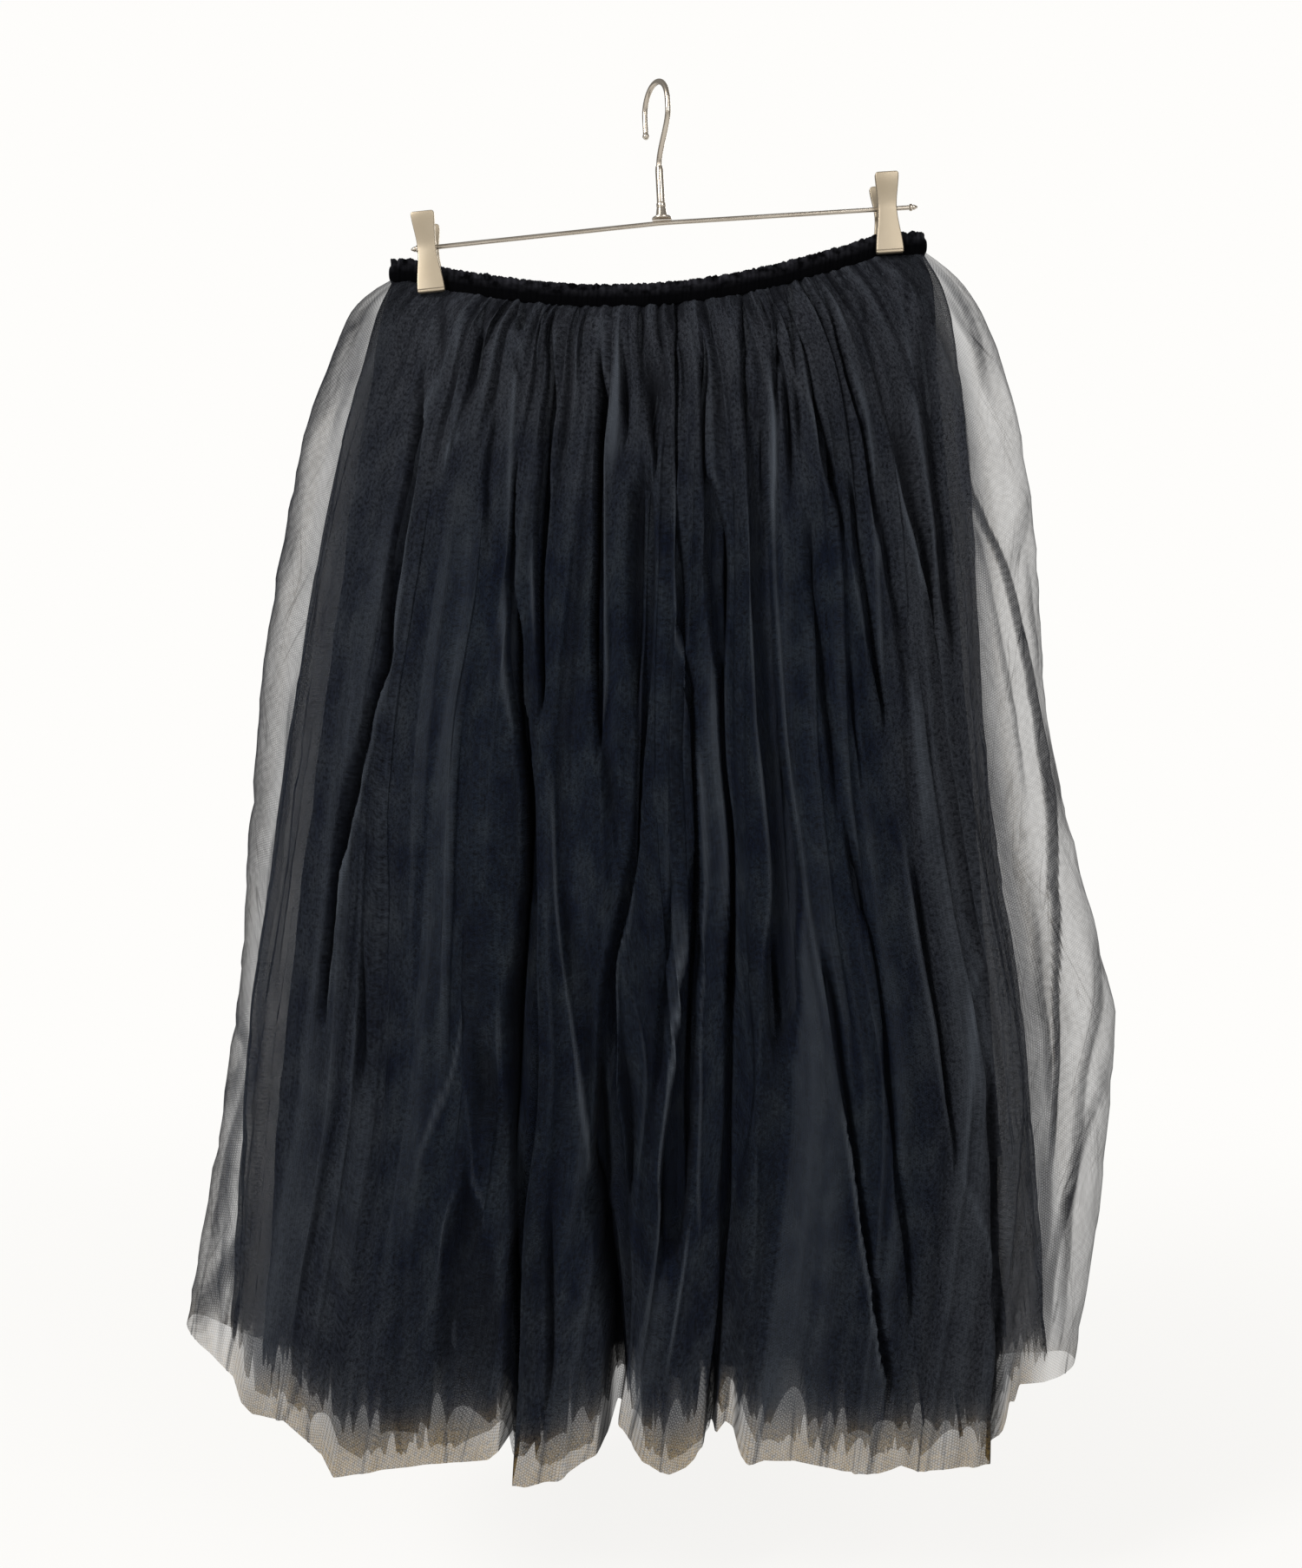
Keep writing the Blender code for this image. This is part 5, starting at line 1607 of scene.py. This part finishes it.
def rod():
    knee = [ROD_CENTRE.lerp(end, KNEE) for end in (ROD_LEFT, ROD_RIGHT)]
    bend = [knee[0].lerp(ROD_CENTRE, t).lerp(ROD_CENTRE.lerp(knee[1], t), t)
            for t in np.linspace(0, 1, 9)]
    route = [ROD_LEFT, *bend, ROD_RIGHT]
    return swept(route, [ROD_R] * len(route), 24)


def finial(end):
    along = (end - ROD_CENTRE).normalized()
    turned = along.to_track_quat("Z", "Y").to_matrix().to_4x4()
    place = Matrix.Translation((end + along * FINIAL_GAP) * MM) @ turned
    return lathe(rounded(FINIAL, 0.35), place, 28)


fitted("hanger_rod", [rod()], bright_nickel, "hanger_metal", "rod")
fitted("finial_left", [finial(ROD_LEFT)], bright_nickel, "hanger_metal", "rod_finial_left")
fitted("finial_right", [finial(ROD_RIGHT)], bright_nickel, "hanger_metal", "rod_finial_right")

# %% [markdown]
# ## Clip plates
#
# Each clip is two pressed plates that hinge on the rod. A plate is hourglass-shaped: a thumb end,
# a waist where its ears fold back round the rod, and a wide jaw that ends in a thin turned lip. Its
# sections are worked out at many heights and joined, so its edges are as round as pressing leaves
# them. From the rod up it slants away from the other plate, which leaves room for a thumb.

# %% Clip plates
CLIP_ABOVE, CLIP_BELOW = 21.0, 34.0  # how far it reaches above and below the rod
CLIP_LENGTH = CLIP_ABOVE + CLIP_BELOW
PLATE_THICK, PLATE_CORNER = 4.0, 2.2
PLATE_EDGE, PLATE_BURR = 0.9, 0.4  # the radius of its outer edge, and of its inner one
PLATE_WAIST, PLATE_TOP_HALF, PLATE_JAW_HALF = 6.5, 8.3, 9.7
PLATE_WAIST_AT = 0.42 * CLIP_LENGTH
JAW_FACE, LEVER_FACE, LEVER_FROM = 6.75, 12.5, -4.0  # from the rod's middle to its inner face
LIP_HEIGHT, LIP_STEP, LIP_SLOPE = 1.9, 0.7, 0.25


def quarter(radius, steps):
    """Sines and cosines, times the radius, on the way through a quarter turn."""
    return [(radius * math.sin(a), radius * math.cos(a)) for a in np.linspace(0, math.pi / 2, steps)]


def plate_half(down):
    """Half the plate's width, that far below its top: an hourglass with round corners."""
    if down < PLATE_WAIST_AT:
        flare, corner = smoothstep(0, PLATE_WAIST_AT, PLATE_WAIST_AT - down), PLATE_CORNER
        half = PLATE_WAIST + (PLATE_TOP_HALF - PLATE_WAIST) * float(flare)
    else:
        flare, corner = smoothstep(PLATE_WAIST_AT, CLIP_LENGTH, down), 0.6 * PLATE_CORNER
        half = PLATE_WAIST + (PLATE_JAW_HALF - PLATE_WAIST) * float(flare)
    edge = min(down, CLIP_LENGTH - down, corner)
    return half - corner + math.sqrt(max(0.0, corner ** 2 - (corner - edge) ** 2))


def plate(side, frame):
    """The plate's face and its rounded edges: a closed section at each of many heights."""
    downs = sorted({*np.linspace(0, PLATE_CORNER, 9),
                    *np.linspace(PLATE_CORNER, CLIP_LENGTH - PLATE_CORNER, 40),
                    *np.linspace(CLIP_LENGTH - LIP_HEIGHT - 0.3, CLIP_LENGTH, 12)})
    points, faces = [], []
    for down in downs:
        height, half = CLIP_ABOVE - down, plate_half(down)
        near = JAW_FACE + (LEVER_FACE - JAW_FACE) * float(smoothstep(LEVER_FROM, CLIP_ABOVE, height))
        end = min(down, CLIP_LENGTH - down, PLATE_EDGE)
        ease = PLATE_EDGE - math.sqrt(max(0.0, PLATE_EDGE ** 2 - (PLATE_EDGE - end) ** 2))
        lip = smoothstep(LIP_HEIGHT + LIP_SLOPE, LIP_HEIGHT - LIP_SLOPE, CLIP_LENGTH - down)
        far = near + PLATE_THICK - ease - LIP_STEP * float(lip)
        section = [(half - PLATE_EDGE + s, far - PLATE_EDGE + c) for s, c in quarter(PLATE_EDGE, 5)]
        section += [(half - PLATE_BURR + c, near + PLATE_BURR - s)
                    for s, c in quarter(PLATE_BURR, 4)]
        section += [(-x, y) for x, y in reversed(section)]
        for x, y in [*section, (0.0, far)]:
            points.append(frame @ (Vector((x, side * y, height)) * MM))
    count = len(points) // len(downs)
    for i in range(1, len(downs)):
        low, high = (i - 1) * count, i * count
        for k in range(count):
            j = (k + 1) % count
            face = (low + k, low + j, high + j, high + k)
            faces.append(face if side < 0 else face[::-1])
    caps = [tuple(range(count)), tuple(range(len(points) - count, len(points)))[::-1]]
    faces += caps if side < 0 else [cap[::-1] for cap in caps]
    return points, faces


print(f"a plate is {2 * plate_half(PLATE_WAIST_AT):.0f} mm wide at its waist")

# %% [markdown]
# ## Ears and coil
#
# An ear is a tab with a round end and a hole for the rod, so it is filled between two outlines. The
# coil sits round the rod between the ears, and its arms push the thumb ends apart, so the jaws
# close.

# %% Ears and coil
EAR_THICK, EAR_R, EAR_BORE = 1.0, 4.2, 2.0
EAR_ROOT, EAR_END = 1.0, 0.9  # how far it is let into the plate, and how round its end is
SPRING_WIRE_R, SPRING_R, SPRING_TURNS, SPRING_HALF = 0.55, 2.7, 5, 2.45
ARM_OUT, ARM_UP = 9.6, 11.5  # where the spring's arms end


def ray_on(outline, angle):
    """Where a ray from the middle at this angle meets the outline."""
    direction = Vector((math.cos(angle), math.sin(angle)))
    for a, b in zip(outline, outline[1:] + outline[:1]):
        a, b = Vector(a), Vector(b)
        edge = b - a
        cross = direction.x * edge.y - direction.y * edge.x
        if abs(cross) < 1e-9:
            continue
        t = (a.x * edge.y - a.y * edge.x) / cross
        s = (a.x * direction.y - a.y * direction.x) / cross
        if t > 0 and -1e-6 <= s <= 1 + 1e-6:
            return (direction.x * t, direction.y * t)
    raise ValueError("the outline doesn't go round the middle")


def ear(side, x, frame):
    """A tab from the plate to just past the rod, with a round end and a hole for the rod."""
    root = JAW_FACE + EAR_ROOT
    ends = np.linspace(math.pi / 2, 3 * math.pi / 2, 17)
    outer = [(root, EAR_R), *[(EAR_R * math.cos(a) * EAR_END, EAR_R * math.sin(a)) for a in ends],
             (root, -EAR_R)]
    around = np.linspace(0, math.tau, 32, endpoint=False)
    inner = [(EAR_BORE * math.cos(a), EAR_BORE * math.sin(a)) for a in around]
    loop = [ray_on(outer, a) for a in around]  # in the same direction as each point of the hole
    points, faces = [], []
    for face_x in (x - EAR_THICK / 2, x + EAR_THICK / 2):
        for y, z in inner + loop:
            points.append(frame @ (Vector((face_x, side * y, z)) * MM))
    n = len(inner)
    for k in range(n):
        j = (k + 1) % n
        faces.append((k, j, n + j, n + k))
        faces.append((2 * n + j, 2 * n + k, 3 * n + k, 3 * n + j))
        faces.append((n + k, n + j, 3 * n + j, 3 * n + k))
        faces.append((j, k, 2 * n + k, 2 * n + j))
    if side > 0:
        faces = [face[::-1] for face in faces]
    return points, faces


def spring(frame):
    """A coil round the rod, with an arm from each end up to a thumb end's inner face."""
    arms = [Vector((-SPRING_HALF, -ARM_OUT, ARM_UP)), Vector((SPRING_HALF, ARM_OUT, ARM_UP))]
    turns = np.linspace(0, math.tau * (SPRING_TURNS + 0.5), 22 * SPRING_TURNS)
    coil = [Vector((-SPRING_HALF + 2 * SPRING_HALF * a / turns[-1], SPRING_R * math.cos(a + math.pi),
                    SPRING_R * math.sin(a + math.pi))) for a in turns]
    route = [arms[0], *[arms[0].lerp(coil[0], t) for t in (0.3, 0.6, 0.85)], *coil,
             *[coil[-1].lerp(arms[1], t) for t in (0.15, 0.4, 0.7)], arms[1]]
    points, faces = swept(route, [SPRING_WIRE_R] * len(route), 8)
    return [frame @ p for p in points], faces


print(f"the coil is {2 * SPRING_HALF} mm long, with {SPRING_TURNS} and a half turns")

# %% [markdown]
# ## The two clips
#
# Both clips hang from the sloping rod, so each is built upright round its middle and then turned
# to the slope of its half of the rod. The front plate's ears stand outside the back plate's.

# %% The two clips
CLIP_LEFT_X, CLIP_RIGHT_X = -161.0, 163.5
FRONT_EAR, BACK_EAR = 5.4, 4.0  # from the clip's middle to an ear


def clip(where, x, rod_end):
    """One clip: two plates with their ears, and the coil between them."""
    along = (x - ROD_CENTRE.x) / (rod_end.x - ROD_CENTRE.x)
    at = ROD_CENTRE.lerp(rod_end, along)
    slope = math.atan((rod_end.z - ROD_CENTRE.z) / (rod_end.x - ROD_CENTRE.x))
    frame = Matrix.Translation(at * MM) @ Matrix.Rotation(-slope, 4, "Y")
    for side, face, ears in ((-1, "front", FRONT_EAR), (1, "back", BACK_EAR)):
        parts = [plate(side, frame), ear(side, -ears, frame), ear(side, ears, frame)]
        fitted(f"clip_{where}_{face}_plate", parts, satin_nickel, "clip_metal",
               f"clip_{where}_{face}")
    fitted(f"clip_{where}_coil", [spring(frame)], spring_steel, "hanger_metal",
           f"clip_{where}_spring")


clip("left", CLIP_LEFT_X, ROD_LEFT)
clip("right", CLIP_RIGHT_X, ROD_RIGHT)
